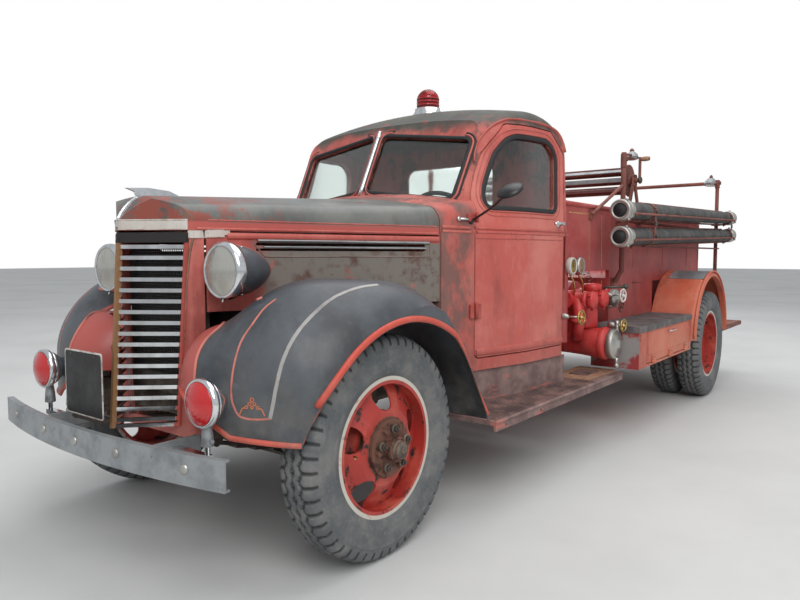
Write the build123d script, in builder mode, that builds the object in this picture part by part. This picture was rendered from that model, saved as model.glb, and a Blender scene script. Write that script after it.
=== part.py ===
from build123d import *
from math import cos, degrees, hypot, sin
import os

os.makedirs("parts", exist_ok=True)

# A fire engine on a one and a half ton truck chassis. Millimetres, +X forward, +Y left, +Z up.
# The origin lies on the ground, midway between the bumper's face and the tailboard's end.

# Driving dimensions of the whole vehicle
wheelbase = 4026
front_overhang = 800
rear_overhang = 1344
overall_width = 2180
tyre_radius = 438
front_track = 1534
twin_inner_y = 775
twin_outer_y = 996
sheet = 5
panel_gap = 6
pin_clearance = 0.05

overall_length = front_overhang + wheelbase + rear_overhang
front_axle_x = overall_length / 2 - front_overhang
rear_axle_x = front_axle_x - wheelbase
axle_z = tyre_radius
sides = (1, -1)


def ahead(distance):
    """X of a place that lies this far ahead of the front axle."""
    return front_axle_x + distance


def behind(distance):
    """X of a place that lies this far behind the rear axle."""
    return rear_axle_x - distance


def upright(y):
    """A sketch plane along the vehicle at this Y, with X forward and Z up."""
    return Plane.XZ.offset(-y)


def save(part, name):
    part.label = name
    export_step(part, f"parts/{name}.step")


def save_both(left_part, name):
    """Writes a left-hand piece and its mirror image as one node of solids that don't touch."""
    save(Compound(children=[*left_part.solids(), *mirror(left_part, about=Plane.XZ).solids()]), name)


def save_each(left_part, name):
    """Writes a left-hand piece and its mirror image as two nodes."""
    save(left_part, "left_" + name)
    save(mirror(left_part, about=Plane.XZ), "right_" + name)


# Chassis frame: two channel rails with crossmembers
rail_outer_y = 400
rail_flange = 60
rail_web = 7
rail_bottom_z = 500
rail_height = 145
rail_top_z = rail_bottom_z + rail_height
rail_front_x = ahead(522)
rail_rear_x = behind(870)
crossmember_width = 80
crossmember_places = (ahead(310), ahead(-1150), ahead(-1750), ahead(-2900), behind(-350), behind(820))

with BuildPart() as frame:
    with BuildSketch(Plane.YZ.offset(rail_rear_x)) as rail_section:
        for side in sides:
            with Locations((side * (rail_outer_y - rail_flange / 2), rail_bottom_z + rail_height / 2)):
                Rectangle(rail_flange, rail_height)
            channel_y = rail_outer_y - rail_flange / 2 - rail_web
            with Locations((side * channel_y, rail_bottom_z + rail_height / 2)):
                Rectangle(rail_flange, rail_height - 2 * rail_web, mode=Mode.SUBTRACT)
    extrude(amount=rail_front_x - rail_rear_x)
    member_height = rail_height - 2 * rail_web
    with Locations([(x, 0, rail_bottom_z + rail_height / 2) for x in crossmember_places]):
        Box(crossmember_width, 2 * (rail_outer_y - rail_web), member_height)
    with Locations([(x, 0, rail_bottom_z + rail_height / 2) for x in crossmember_places]):
        hollow = (crossmember_width - 2 * rail_web, 2 * rail_outer_y, member_height - 2 * rail_web)
        Box(*hollow, mode=Mode.SUBTRACT)
save(frame.part, "frame_rails")

# Front axle: a dropped beam between two kingpin bosses
kingpin_y = 620
kingpin_radius = 14
boss_radius = 32
boss_height = 76
beam_height = 62
beam_drop = 100
beam_half_thickness = 28
beam_flat = 60
front_spring_y = 370
beam_bottom_z = axle_z - beam_height / 2 - beam_drop
beam_top_z = beam_bottom_z + beam_height
beam_recess = 18
beam_flange = 14

with BuildPart() as front_axle:
    with BuildSketch(Plane.YZ.offset(front_axle_x)) as beam_outline:
        with BuildLine():
            Polyline(
                (-kingpin_y, axle_z - beam_height / 2),
                (beam_flat - kingpin_y, axle_z - beam_height / 2),
                (-front_spring_y - 60, beam_bottom_z),
                (front_spring_y + 60, beam_bottom_z),
                (kingpin_y - beam_flat, axle_z - beam_height / 2),
                (kingpin_y, axle_z - beam_height / 2),
                (kingpin_y, axle_z + beam_height / 2),
                (kingpin_y - beam_flat, axle_z + beam_height / 2),
                (front_spring_y + 40, beam_top_z),
                (-front_spring_y - 40, beam_top_z),
                (beam_flat - kingpin_y, axle_z + beam_height / 2),
                (-kingpin_y, axle_z + beam_height / 2),
                close=True,
            )
        make_face()
    extrude(amount=beam_half_thickness, both=True)
    for face_side in sides:
        with BuildSketch(Plane.YZ.offset(front_axle_x + face_side * beam_half_thickness)):
            with Locations((0, beam_bottom_z + beam_height / 2)):
                Rectangle(2 * (front_spring_y - 60), beam_height - 2 * beam_flange)
        extrude(amount=-face_side * beam_recess, mode=Mode.SUBTRACT)
    with Locations([(front_axle_x, side * kingpin_y, axle_z) for side in sides]):
        Cylinder(boss_radius, boss_height)
    with Locations([(front_axle_x, side * kingpin_y, axle_z) for side in sides]):
        Cylinder(kingpin_radius + pin_clearance, boss_height, mode=Mode.SUBTRACT)
save(front_axle.part, "front_axle")

# Steering knuckle: a fork round the axle's boss, a kingpin, a wheel spindle and a steering arm
fork_gap = 2
fork_lug = 30
fork_half_height = boss_height / 2 + fork_gap + fork_lug
fork_plate_y = kingpin_y + boss_radius + 6
fork_plate = 18
spindle_radius = 24
spindle_end_y = front_track / 2 + 105
arm_reach = 150
arm_plate = 20
arm_width = 34
tie_pin_radius = 9
tie_eye_radius = 20
tie_eye_height = 26
tie_rod_radius = 12
arm_bottom_z = axle_z - fork_half_height - arm_plate
tie_eye_top_z = arm_bottom_z - 6
tie_rod_z = tie_eye_top_z - tie_eye_height / 2

with BuildPart() as knuckle:
    with Locations((front_axle_x, kingpin_y, axle_z)):
        Cylinder(kingpin_radius, 2 * fork_half_height)
    lug_z = axle_z + boss_height / 2 + fork_gap + fork_lug / 2
    for height in (lug_z, 2 * axle_z - lug_z):
        with Locations((front_axle_x, kingpin_y, height)):
            Cylinder(boss_radius - 2, fork_lug)
        with Locations((front_axle_x, (kingpin_y + fork_plate_y) / 2, height)):
            Box(52, fork_plate_y - kingpin_y, fork_lug)
    with Locations((front_axle_x, fork_plate_y + fork_plate / 2, axle_z)):
        Box(68, fork_plate, 2 * fork_half_height)
    with BuildSketch(Plane.XZ.offset(-fork_plate_y - fork_plate)):
        with Locations((front_axle_x, axle_z)):
            Circle(spindle_radius)
    extrude(amount=-(spindle_end_y - fork_plate_y - fork_plate))
    with BuildSketch(Plane.XY.offset(arm_bottom_z)):
        with Locations((front_axle_x - arm_reach / 2, kingpin_y)):
            SlotCenterToCenter(arm_reach, arm_width)
    extrude(amount=arm_plate)
    with BuildSketch(Plane.XY.offset(arm_bottom_z)):
        with Locations((front_axle_x - arm_reach, kingpin_y)):
            Circle(tie_pin_radius)
    extrude(amount=-(6 + tie_eye_height + 4))
save_each(knuckle.part, "steering_knuckle")

with BuildPart() as tie_rod:
    with Locations([(front_axle_x - arm_reach, side * kingpin_y, tie_rod_z) for side in sides]):
        Cylinder(tie_eye_radius, tie_eye_height)
    with BuildSketch(Plane.XZ):
        with Locations((front_axle_x - arm_reach, tie_rod_z)):
            Circle(tie_rod_radius)
    extrude(amount=kingpin_y - tie_eye_radius / 2, both=True)
    with Locations([(front_axle_x - arm_reach, side * kingpin_y, tie_rod_z) for side in sides]):
        Cylinder(tie_pin_radius + pin_clearance, tie_eye_height, mode=Mode.SUBTRACT)
save(tie_rod.part, "tie_rod")

# Rear axle: tube, differential housing, spring saddles and the propeller shaft
rear_tube_radius = 52
rear_tube_end_y = 640
rear_spindle_radius = 35
rear_spindle_end_y = 930
banjo_radius = 150
banjo_half_width = 240
rear_spring_y = 450
rear_spring_width = 60
rear_saddle_top_z = axle_z + rear_tube_radius + 4
pinion_radius = 68
pinion_reach = 300
shaft_radius = 38
gearbox_rear_x = ahead(-1000)

with BuildPart() as rear_axle:
    with BuildSketch(Plane(origin=(rear_axle_x, 0, axle_z), x_dir=(1, 0, 0), z_dir=(0, 0, 1))):
        with BuildLine():
            Polyline(
                (0, -rear_spindle_end_y),
                (rear_spindle_radius, -rear_spindle_end_y),
                (rear_spindle_radius, -rear_tube_end_y),
                (rear_tube_radius, -rear_tube_end_y),
                (rear_tube_radius, -banjo_half_width),
            )
            ThreePointArc(
                (rear_tube_radius, -banjo_half_width), (banjo_radius, 0), (rear_tube_radius, banjo_half_width)
            )
            Polyline(
                (rear_tube_radius, banjo_half_width),
                (rear_tube_radius, rear_tube_end_y),
                (rear_spindle_radius, rear_tube_end_y),
                (rear_spindle_radius, rear_spindle_end_y),
                (0, rear_spindle_end_y),
                (0, -rear_spindle_end_y),
            )
        make_face()
    revolve(axis=Axis((rear_axle_x, 0, axle_z), (0, 1, 0)))
    saddle_z = axle_z + rear_tube_radius / 2 + 2
    with Locations([(rear_axle_x, side * rear_spring_y, saddle_z) for side in sides]):
        Box(110, rear_spring_width, rear_tube_radius + 4)
    with BuildSketch(Plane.YZ.offset(rear_axle_x)):
        with Locations((0, axle_z)):
            Circle(pinion_radius)
    extrude(amount=pinion_reach)
    with BuildSketch(Plane.YZ.offset(rear_axle_x)):
        with Locations((0, axle_z)):
            Circle(shaft_radius)
    extrude(amount=gearbox_rear_x - rear_axle_x)
save(rear_axle.part, "rear_axle")

# Leaf springs: stacked arcs, the longest on top, with an eye and a hanger at each end
leaf_thickness = 10
hanger_width = 50


def leaf_pack(axle_x, centre_y, seat_z, leaves, half_length, radius, width, hanger_top_z, hanger_inner_y):
    """A spring whose lowest point rests at seat_z, hung from the frame at its two eyes."""
    with BuildPart() as pack:
        with BuildSketch(upright(centre_y)):
            for leaf in range(leaves):
                low = radius - leaf * leaf_thickness
                reach = degrees(half_length * (leaf + 1) / leaves / radius)
                with BuildLine():
                    under = CenterArc((axle_x, seat_z + radius), low, -90 - reach, 2 * reach)
                    over = CenterArc((axle_x, seat_z + radius), low - leaf_thickness, -90 - reach, 2 * reach)
                    Line(under @ 0, over @ 0)
                    Line(under @ 1, over @ 1)
                make_face()
            main = radius - (leaves - 0.5) * leaf_thickness
            tip = half_length / radius
            for end in sides:
                with Locations((axle_x + end * main * sin(tip), seat_z + radius - main * cos(tip))):
                    Circle(1.4 * leaf_thickness)
        extrude(amount=width / 2, both=True)
        eye_z = seat_z + radius - main * cos(tip)
        block_outer_y = centre_y + width / 2
        for end in sides:
            hanger_y = (hanger_inner_y + block_outer_y) / 2
            with Locations((axle_x + end * main * sin(tip), hanger_y, (eye_z + hanger_top_z) / 2)):
                Box(hanger_width, block_outer_y - hanger_inner_y, hanger_top_z - eye_z)
    return pack.part


front_spring = leaf_pack(
    front_axle_x, front_spring_y, beam_top_z, 5, 480, 1700, 50, rail_bottom_z, front_spring_y - 25
)
rear_spring = leaf_pack(
    rear_axle_x, rear_spring_y, rear_saddle_top_z, 7, 620, 3000, rear_spring_width, rail_top_z - 5,
    rail_outer_y
)
all_springs = [*front_spring.solids(), *rear_spring.solids()]
all_springs += [mirror(spring, about=Plane.XZ) for spring in all_springs]
save(Compound(children=all_springs), "leaf_springs")

# Engine and gearbox: plain blocks, closed inside the nose
engine_front_x = ahead(230)
engine_rear_x = ahead(-480)
with BuildPart() as engine:
    with Locations(((engine_front_x + engine_rear_x) / 2, 0, 820)):
        Box(engine_front_x - engine_rear_x, 420, 640)
    with Locations(((gearbox_rear_x + engine_rear_x) / 2, 0, 500)):
        Box(engine_rear_x - gearbox_rear_x, 260, 220)
save(engine.part, "engine_block")

# Tyres: a closed ring whose bead seats on the rim
rim_seat_radius = 254
rim_half_width = 60
flange_radius = 279
flange_thickness = 8
tyre_half_width = 86


def tyre(axle_x, centre_y):
    """One tyre about an axle along Y."""
    with BuildPart() as ring:
        with BuildSketch(Plane(origin=(axle_x, centre_y, axle_z), x_dir=(1, 0, 0), z_dir=(0, 0, 1))):
            with BuildLine():
                for side in sides:
                    Polyline(
                        (rim_seat_radius, 0),
                        (rim_seat_radius, side * rim_half_width),
                        (flange_radius + 3, side * rim_half_width),
                        (flange_radius + 4, side * (rim_half_width + flange_thickness + 4)),
                    )
                    ThreePointArc(
                        (flange_radius + 4, side * (rim_half_width + flange_thickness + 4)),
                        (flange_radius + 66, side * tyre_half_width),
                        (tyre_radius - 24, side * (tyre_half_width - 12)),
                    )
                    ThreePointArc(
                        (tyre_radius - 24, side * (tyre_half_width - 12)),
                        (tyre_radius - 11, side * (tyre_half_width - 19)),
                        (tyre_radius - 5, side * (tyre_half_width - 31)),
                    )
                ThreePointArc(
                    (tyre_radius - 5, tyre_half_width - 31),
                    (tyre_radius, 0),
                    (tyre_radius - 5, 31 - tyre_half_width),
                )
            make_face()
        revolve(axis=Axis((axle_x, centre_y, axle_z), (0, 1, 0)))
    return ring.part


save_each(tyre(front_axle_x, front_track / 2), "front_tyre")
twin = [*tyre(rear_axle_x, twin_inner_y).solids(), *tyre(rear_axle_x, twin_outer_y).solids()]
save(Compound(children=twin), "left_rear_tyres")
save(Compound(children=[mirror(ring, about=Plane.XZ) for ring in twin]), "right_rear_tyres")

# Wheels: rim, dished disc with hand holes, hub, nuts and brake drum
hand_holes = 5
hand_hole_radius = 50
hand_hole_circle = 192
hub_flange_radius = 112
hub_barrel_radius = 48
nut_circle = 86
nuts = 6
nut_radius = 13
disc_thickness = 8
drum_radius = 138


def rim_section(offset):
    """Adds the rim's well and its two flanges to a sketch of radius against offset along the axle."""
    with Locations((rim_seat_radius - 4, offset)):
        Rectangle(8, 2 * rim_half_width + 2 * flange_thickness)
    for side in sides:
        with Locations((rim_seat_radius - 8 + (flange_radius - rim_seat_radius + 8) / 2,
                        offset + side * (rim_half_width + flange_thickness / 2))):
            Rectangle(flange_radius - rim_seat_radius + 8, flange_thickness)


def disc_section(points):
    """Adds a dished disc: its outer face as (radius, offset) points, one thickness deep."""
    back = [(radius, offset - disc_thickness) for radius, offset in reversed(points)]
    Polygon(*points, *back, align=None)


def turned_ring(inner, outer, low, high):
    """Adds a plain turned ring to a sketch of radius against offset."""
    with Locations(((inner + outer) / 2, (low + high) / 2)):
        Rectangle(outer - inner, high - low)


wheel_bore = spindle_radius + pin_clearance
spindle_end = spindle_end_y - front_track / 2
front_flange_face = 86
with BuildPart() as front_wheel:
    with BuildSketch(Plane(origin=(front_axle_x, front_track / 2, axle_z), x_dir=(1, 0, 0), z_dir=(0, 0, 1))):
        rim_section(0)
        disc_section(((rim_seat_radius - 6, 14), (200, 34), (150, 66), (60, 74)))
        turned_ring(wheel_bore, hub_barrel_radius, -62, spindle_end + 4)
        turned_ring(0, hub_barrel_radius, spindle_end + 4, spindle_end + 18)
        turned_ring(0, 34, spindle_end + 18, spindle_end + 34)
        turned_ring(hub_barrel_radius - 4, hub_flange_radius, 74, front_flange_face)
        turned_ring(hub_barrel_radius - 4, drum_radius, -58, 24)
    revolve(axis=Axis((front_axle_x, 0, axle_z), (0, 1, 0)))
    with BuildSketch(upright(front_track / 2 + 2)):
        with Locations((front_axle_x, axle_z)):
            with PolarLocations(hand_hole_circle, hand_holes, start_angle=90):
                Circle(hand_hole_radius)
    extrude(amount=-84, mode=Mode.SUBTRACT)
    with BuildSketch(upright(front_track / 2 + front_flange_face)):
        with Locations((front_axle_x, axle_z)):
            with PolarLocations(nut_circle, nuts):
                RegularPolygon(nut_radius, 6)
    extrude(amount=-18)
save_each(front_wheel.part, "front_wheel")

twin_middle_y = (twin_inner_y + twin_outer_y) / 2
twin_half_gap = (twin_outer_y - twin_inner_y) / 2
rear_bore = rear_spindle_radius + pin_clearance
rear_spindle_end = rear_spindle_end_y - twin_middle_y
with BuildPart() as rear_wheels:
    with BuildSketch(Plane(origin=(rear_axle_x, twin_middle_y, axle_z), x_dir=(1, 0, 0), z_dir=(0, 0, 1))):
        rim_section(twin_half_gap)
        rim_section(-twin_half_gap)
        rim_point = (rim_seat_radius - 6, twin_half_gap - 26)
        twin_disc = (rim_point, (204, 62), (150, disc_thickness), (60, disc_thickness))
        disc_section(twin_disc)
        disc_section(((rim_seat_radius - 6, 34 - twin_half_gap), (204, -54), (150, 0), (60, 0)))
        turned_ring(rear_bore, 64, -182, rear_spindle_end + 4)
        turned_ring(0, 64, rear_spindle_end + 4, rear_spindle_end + 22)
        turned_ring(60, hub_flange_radius, disc_thickness - 1, 20)
        turned_ring(60, drum_radius, -176, -90)
    revolve(axis=Axis((rear_axle_x, 0, axle_z), (0, 1, 0)))
    with BuildSketch(upright(twin_middle_y - twin_half_gap)):
        with Locations((rear_axle_x, axle_z)):
            with PolarLocations(hand_hole_circle, hand_holes, start_angle=90):
                Circle(hand_hole_radius - 8)
    extrude(amount=-2 * twin_half_gap, mode=Mode.SUBTRACT)
    with BuildSketch(upright(twin_middle_y + 20)):
        with Locations((rear_axle_x, axle_z)):
            with PolarLocations(nut_circle, nuts):
                RegularPolygon(nut_radius, 6)
    extrude(amount=-18)
save(rear_wheels.part, "left_rear_wheels")
save(mirror(rear_wheels.part, about=Plane.XZ), "right_rear_wheels")

# Cab and nose: outlines shared by the panels, the doors, the glass and the roof
belt_z = 1285
cab_floor_z = rail_top_z
cab_skirt_z = 600
cab_front_x = ahead(-640)
cab_rear_x = ahead(-1690)
cab_wall = 30
floor_thickness = 30
cowl_half = 640
cowl_rear_half = 716
belt_step = 8
roof_corner_radius = 120
shield_foot = Vector(ahead(-805), 0, 1510)
shield_head = Vector(ahead(-985), 0, 1885)
shield_vee = 90
shield_vee_y = 600
# Upper cab stations: distance ahead, half width at the belt, at the roof's corner, corner z, crown z
cab_stations = (
    (-700, 652, 330, 1640, 1720),
    (-909, 695, 500, 1830, 1880),
    (-1060, 729, 610, 1870, 1925),
    (-1250, 772, 735, 1925, 2005),
    (-1420, 789, 765, 1950, 2032),
    (-1600, 806, 785, 1915, 2010),
    (-1690, 812, 785, 1800, 1890),
)
# Lower cab corners in plan: distance ahead, half width, to which the belt's step is added
cab_plan = ((-640, 640), (-985, 712), (-1250, 772), (-1690, 812))


def shield_plane(side, depth):
    """The plane of one windshield pane, this deep under the outer surface, X up the glass."""
    up = (shield_head - shield_foot).normalized()
    out = Vector(-shield_vee, side * shield_vee_y, 0)
    normal = (out.cross(up) * side).normalized()
    return Plane(origin=shield_foot - normal * depth, x_dir=up, z_dir=normal)


def upper_cab(inset):
    """The cab above its belt as a closed form, shrunk by the inset."""
    with BuildPart() as form:
        for station, belt_half, corner_half, corner_z, crown_z in cab_stations:
            place = ahead(station) + (inset if ahead(station) == cab_rear_x else 0)
            with BuildSketch(Plane.YZ.offset(place)) as section:
                with BuildLine():
                    Polyline(
                        (inset - corner_half, corner_z - inset),
                        (inset - belt_half, belt_z),
                        (belt_half - inset, belt_z),
                        (corner_half - inset, corner_z - inset),
                    )
                    ThreePointArc(
                        (corner_half - inset, corner_z - inset),
                        (0, crown_z - inset),
                        (inset - corner_half, corner_z - inset),
                    )
                make_face()
                fillet(section.vertices().sort_by(Axis.Y)[-2:], roof_corner_radius - inset)
        loft()
        for side in sides:
            with BuildSketch(shield_plane(side, inset)):
                with Locations((200, -side * 450)):
                    Rectangle(1400, 1100)
            extrude(amount=800, mode=Mode.SUBTRACT)
    return form.part


def lower_cab(inset):
    """The cab from its skirt to its belt as a closed form, shrunk by the inset."""
    with BuildPart() as form:
        with BuildSketch(Plane.XY.offset(cab_skirt_z)) as plan:
            left = [(ahead(station), half + belt_step) for station, half in cab_plan]
            right = [(x, -y) for x, y in reversed(left)]
            Polygon(*left, *right)
            fillet(plan.vertices().sort_by(Axis.X)[:2], 70)
            if inset:
                offset(amount=-inset)
        extrude(amount=belt_z - cab_skirt_z)
    return form.part


# Hood: an alligator lid over the nose, lofted between two crowned sections and cut to the prow
hood_base_z = 1272
hood_front_half = 255
hood_corner_x = ahead(468)
prow_top_x = ahead(612)
hood_slope = (cowl_half - hood_front_half) / (hood_corner_x - cab_front_x)
hood_sheet = 8
# Crowned sections: x, corner z, crown z, corner radius
hood_rear = (cab_front_x, 1400, 1467, 90)
hood_front = (ahead(640), 1345, 1405, 60)
cowl_rear = (ahead(-985), 1450, 1545, 90)


def hood_half(x):
    """Half width of the nose in plan at this X."""
    return hood_front_half + hood_slope * (hood_corner_x - x)


def crowned_face(half, base_z, corner_z, crown_z, radius):
    """A closed section with upright sides, rounded shoulders and a crowned top."""
    with BuildSketch() as section:
        with BuildLine():
            Polyline((-half, corner_z), (-half, base_z), (half, base_z), (half, corner_z))
            ThreePointArc((half, corner_z), (0, crown_z), (-half, corner_z))
        make_face()
        fillet(section.vertices().sort_by(Axis.Y)[-2:], radius)
    return section.sketch


def crowned_loft(first, second, first_half, second_half, inset, base_z):
    """Lofts between two crowned sections, shrunk by the inset."""
    with BuildPart() as form:
        for (x, corner_z, crown_z, radius), half in ((first, first_half), (second, second_half)):
            with BuildSketch(Plane.YZ.offset(x)):
                add(crowned_face(half - inset, base_z, corner_z - inset, crown_z - inset, radius - inset))
        loft()
    return form.part


def nose_plan(inset, rear_x):
    """The nose in plan as a list of points: prow, corners and rear, shrunk by the inset."""
    prow = prow_top_x - inset * 1.1
    corner = (hood_corner_x - inset, hood_half(hood_corner_x) - inset)
    rear = (rear_x, hood_half(rear_x) - inset)
    return [(prow, 0), corner, rear, (rear[0], -rear[1]), (corner[0], -corner[1])]


def hood_form(inset, rear_x):
    """The hood as a closed form, shrunk by the inset, cut off at rear_x."""
    base_z = hood_base_z - (2 if inset else 0)
    with BuildPart() as form:
        rear_half, front_half = hood_half(hood_rear[0]), hood_half(hood_front[0])
        add(crowned_loft(hood_rear, hood_front, rear_half, front_half, inset, hood_base_z - 1))
        with BuildSketch(Plane.XY.offset(hood_base_z - 2)) as plan:
            Polygon(*nose_plan(inset, rear_x))
            fillet(plan.vertices().sort_by(Axis.X)[-3:], 45)
        extrude(amount=400, mode=Mode.INTERSECT)
        with BuildSketch(Plane.XZ):
            with BuildLine():
                Polyline(
                    (ahead(400), 1425 - inset),
                    (ahead(300), 1600),
                    (cab_front_x - 50, 1600),
                    (cab_front_x - 50, base_z),
                    (prow_top_x - inset, base_z),
                    (prow_top_x - inset, 1295),
                )
                brow = (ahead(553) - inset * 0.7, 1382 - inset * 0.7)
                ThreePointArc((prow_top_x - inset, 1295), brow, (ahead(400), 1425 - inset))
            make_face()
        extrude(amount=900, both=True, mode=Mode.INTERSECT)
    return form.part


hood_rear_x = cab_front_x + panel_gap
with BuildPart() as hood:
    add(hood_form(0, hood_rear_x))
    add(hood_form(hood_sheet, hood_rear_x - 40), mode=Mode.SUBTRACT)
save(hood.part, "hood")

ornament_half = 7
with BuildPart() as ornament:
    with BuildSketch(Plane.XZ):
        with BuildLine():
            Polyline(
                (ahead(572), 1437), (ahead(480), 1444), (ahead(385), 1438), (ahead(340), 1422),
                (ahead(480), 1385), (ahead(515), 1385), (ahead(535), 1425), (ahead(572), 1437),
            )
        make_face()
    extrude(amount=ornament_half, both=True)
    add(hood_form(0, hood_rear_x), mode=Mode.SUBTRACT)
save(ornament.part, "hood_ornament")

# Hood sides: fixed panels under the lid, with a row of louvre slots
side_sheet = 6
side_base_z = 960
louvre_front_x = ahead(220)
louvre_rear_x = ahead(-560)
with BuildPart() as hood_side:
    with BuildSketch(Plane.XY.offset(side_base_z)):
        front_x = hood_corner_x - 62
        rear_x = cab_front_x + 1
        Polygon(
            (front_x, hood_half(front_x)),
            (rear_x, hood_half(rear_x)),
            (rear_x, hood_half(rear_x) - side_sheet),
            (front_x, hood_half(front_x) - side_sheet),
        )
    extrude(amount=hood_base_z - panel_gap - side_base_z)
    for height in (1200, 1222):
        with BuildSketch(upright(200)):
            with Locations(((louvre_front_x + louvre_rear_x) / 2, height)):
                SlotOverall(louvre_front_x - louvre_rear_x, 10)
        extrude(amount=-500, mode=Mode.SUBTRACT)
save_both(hood_side.part, "hood_sides")

# Grille: a prow of bars that seat in a shell on the nose
grille_top_z = 1240
grille_foot_z = 514
grille_back_x = ahead(468)
grille_half_top = 252
grille_half_foot = 180
prow_foot_x = ahead(656)
grille_bars = 17
bar_height = 15
bar_depth = 16
post_width = 16
shell_depth = 55
shell_half = 250
shell_flare = 20
shell_base_z = 470


def grille_half(z):
    """Half width of the grille opening at this height."""
    share = (z - grille_foot_z) / (grille_top_z - grille_foot_z)
    return grille_half_foot + share * (grille_half_top - grille_half_foot)


def prow_x(z):
    """X of the prow line at this height."""
    share = (z - grille_foot_z) / (grille_top_z - grille_foot_z)
    return prow_foot_x + share * (ahead(609) - prow_foot_x)


shell_front_x = grille_back_x
with BuildPart() as grille_shell:
    with BuildSketch(Plane.XY.offset(shell_base_z)) as shell_plan:
        Rectangle(1, 1)
        Polygon(
            (shell_front_x, shell_half), (shell_front_x - shell_depth, shell_half + shell_flare),
            (shell_front_x - shell_depth, -shell_half - shell_flare), (shell_front_x, -shell_half),
            mode=Mode.REPLACE,
        )
        fillet(shell_plan.vertices().sort_by(Axis.X)[-2:], 22)
    extrude(amount=hood_base_z - panel_gap - shell_base_z)
    with BuildSketch(Plane.XY.offset(shell_base_z)):
        Polygon(
            (shell_front_x - 12, shell_half - 12), (shell_front_x - 70, shell_half + 8),
            (shell_front_x - 70, -shell_half - 8), (shell_front_x - 12, 12 - shell_half),
        )
    extrude(amount=hood_base_z - panel_gap - shell_base_z, mode=Mode.SUBTRACT)
    with BuildSketch(Plane.YZ.offset(shell_front_x - 70)):
        Polygon(
            (-grille_half_top + 14, grille_top_z), (grille_half_top - 14, grille_top_z),
            (grille_half_foot - 14, grille_foot_z), (14 - grille_half_foot, grille_foot_z),
        )
    extrude(amount=90, mode=Mode.SUBTRACT)
save(grille_shell.part, "grille_shell")

with BuildPart() as grille:
    for bar in range(grille_bars):
        z = grille_foot_z + 30 + bar * (grille_top_z - grille_foot_z - 60) / (grille_bars - 1)
        with BuildSketch(Plane.XY.offset(z - bar_height / 2)):
            for side in sides:
                Polygon(
                    (prow_x(z) - bar_depth, 0), (prow_x(z), 0),
                    (grille_back_x + 2, side * grille_half(z)),
                    (grille_back_x + 2, side * (grille_half(z) - 14)),
                )
        extrude(amount=bar_height)
    for side in sides:
        with BuildSketch(Plane.YZ.offset(grille_back_x)):
            Polygon(
                (side * grille_half_foot, grille_foot_z), (side * grille_half_top, grille_top_z),
                (side * (grille_half_top - post_width), grille_top_z),
                (side * (grille_half_foot - post_width), grille_foot_z),
            )
        extrude(amount=10)
    with BuildSketch(Plane.XZ):
        Polygon(
            (prow_x(grille_foot_z) + 3, grille_foot_z), (prow_x(grille_top_z) + 3, grille_top_z),
            (prow_x(grille_top_z) - bar_depth, grille_top_z),
            (prow_x(grille_foot_z) - bar_depth, grille_foot_z),
        )
    extrude(amount=post_width / 2, both=True)
    for z, thickness in ((grille_foot_z, 14), (grille_top_z - 14, 38)):
        with BuildSketch(Plane.XY.offset(z)):
            for side in sides:
                Polygon(
                    (prow_x(z) - bar_depth, 0), (prow_x(z) + 3, 0),
                    (grille_back_x + 10, side * (grille_half(z) - 1)),
                    (grille_back_x, side * (grille_half(z) - 1)),
                    (grille_back_x, side * (grille_half(z) - 20)),
                )
        extrude(amount=thickness if z + thickness < hood_base_z - panel_gap else hood_base_z - panel_gap - z)
save(grille.part, "grille_bars")

# Radiator core behind the grille
with BuildPart() as radiator:
    with Locations((ahead(395), 0, 900)):
        Box(60, 460, 560)
save(radiator.part, "radiator")

# Front bumper: a bowed plate with rolled edges on two irons
bumper_half = 775
bumper_bow = 84
bumper_height = 102
bumper_top_z = 545
bumper_sheet = 7
bumper_roll = 24
bumper_radius = (bumper_half**2 + bumper_bow**2) / (2 * bumper_bow)
bumper_face_x = ahead(front_overhang)
iron_y = 370
bow_centre = (bumper_face_x - bumper_radius, 0)
with BuildPart() as bumper:
    bow_reach = degrees(bumper_half / bumper_radius)
    with BuildSketch(Plane.XY.offset(bumper_top_z - bumper_height)):
        with BuildLine():
            face = CenterArc(bow_centre, bumper_radius, -bow_reach, 2 * bow_reach)
            back = CenterArc(bow_centre, bumper_radius - bumper_roll, -bow_reach, 2 * bow_reach)
            Line(face @ 0, back @ 0)
            Line(face @ 1, back @ 1)
        make_face()
    extrude(amount=bumper_height)
    with BuildSketch(Plane.XY.offset(bumper_top_z - bumper_height + bumper_sheet)):
        with BuildLine():
            face = CenterArc(bow_centre, bumper_radius - bumper_sheet, -bow_reach - 2, 2 * bow_reach + 4)
            back = CenterArc(bow_centre, bumper_radius - bumper_roll - 5, -bow_reach - 2, 2 * bow_reach + 4)
            Line(face @ 0, back @ 0)
            Line(face @ 1, back @ 1)
        make_face()
    extrude(amount=bumper_height - 2 * bumper_sheet, mode=Mode.SUBTRACT)
    iron_face_x = bumper_face_x - bumper_radius + (bumper_radius**2 - iron_y**2) ** 0.5 - 10
    for side in sides:
        with Locations(((rail_front_x + iron_face_x) / 2, side * iron_y, bumper_top_z - bumper_height / 2)):
            Box(iron_face_x - rail_front_x, 16, 60)
save(bumper.part, "front_bumper")

# Doors: outlines in side view as (distance ahead, z), front edge first
door_gap = 6
door_wall = 34
door_outline = (
    (-868, 665), (-868, 1330), (-932, 1495), (-1035, 1700), (-1165, 1862), (-1530, 1862), (-1648, 1752),
    (-1648, 665),
)
window_outline = (
    (-1000, 1425), (-1008, 1500), (-1100, 1700), (-1180, 1795), (-1500, 1800), (-1568, 1735), (-1560, 1425),
)
rear_window_half = 330
rear_window_foot_z = 1440
rear_window_head_z = 1740
glass_thickness = 6
glass_depth = 14


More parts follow.
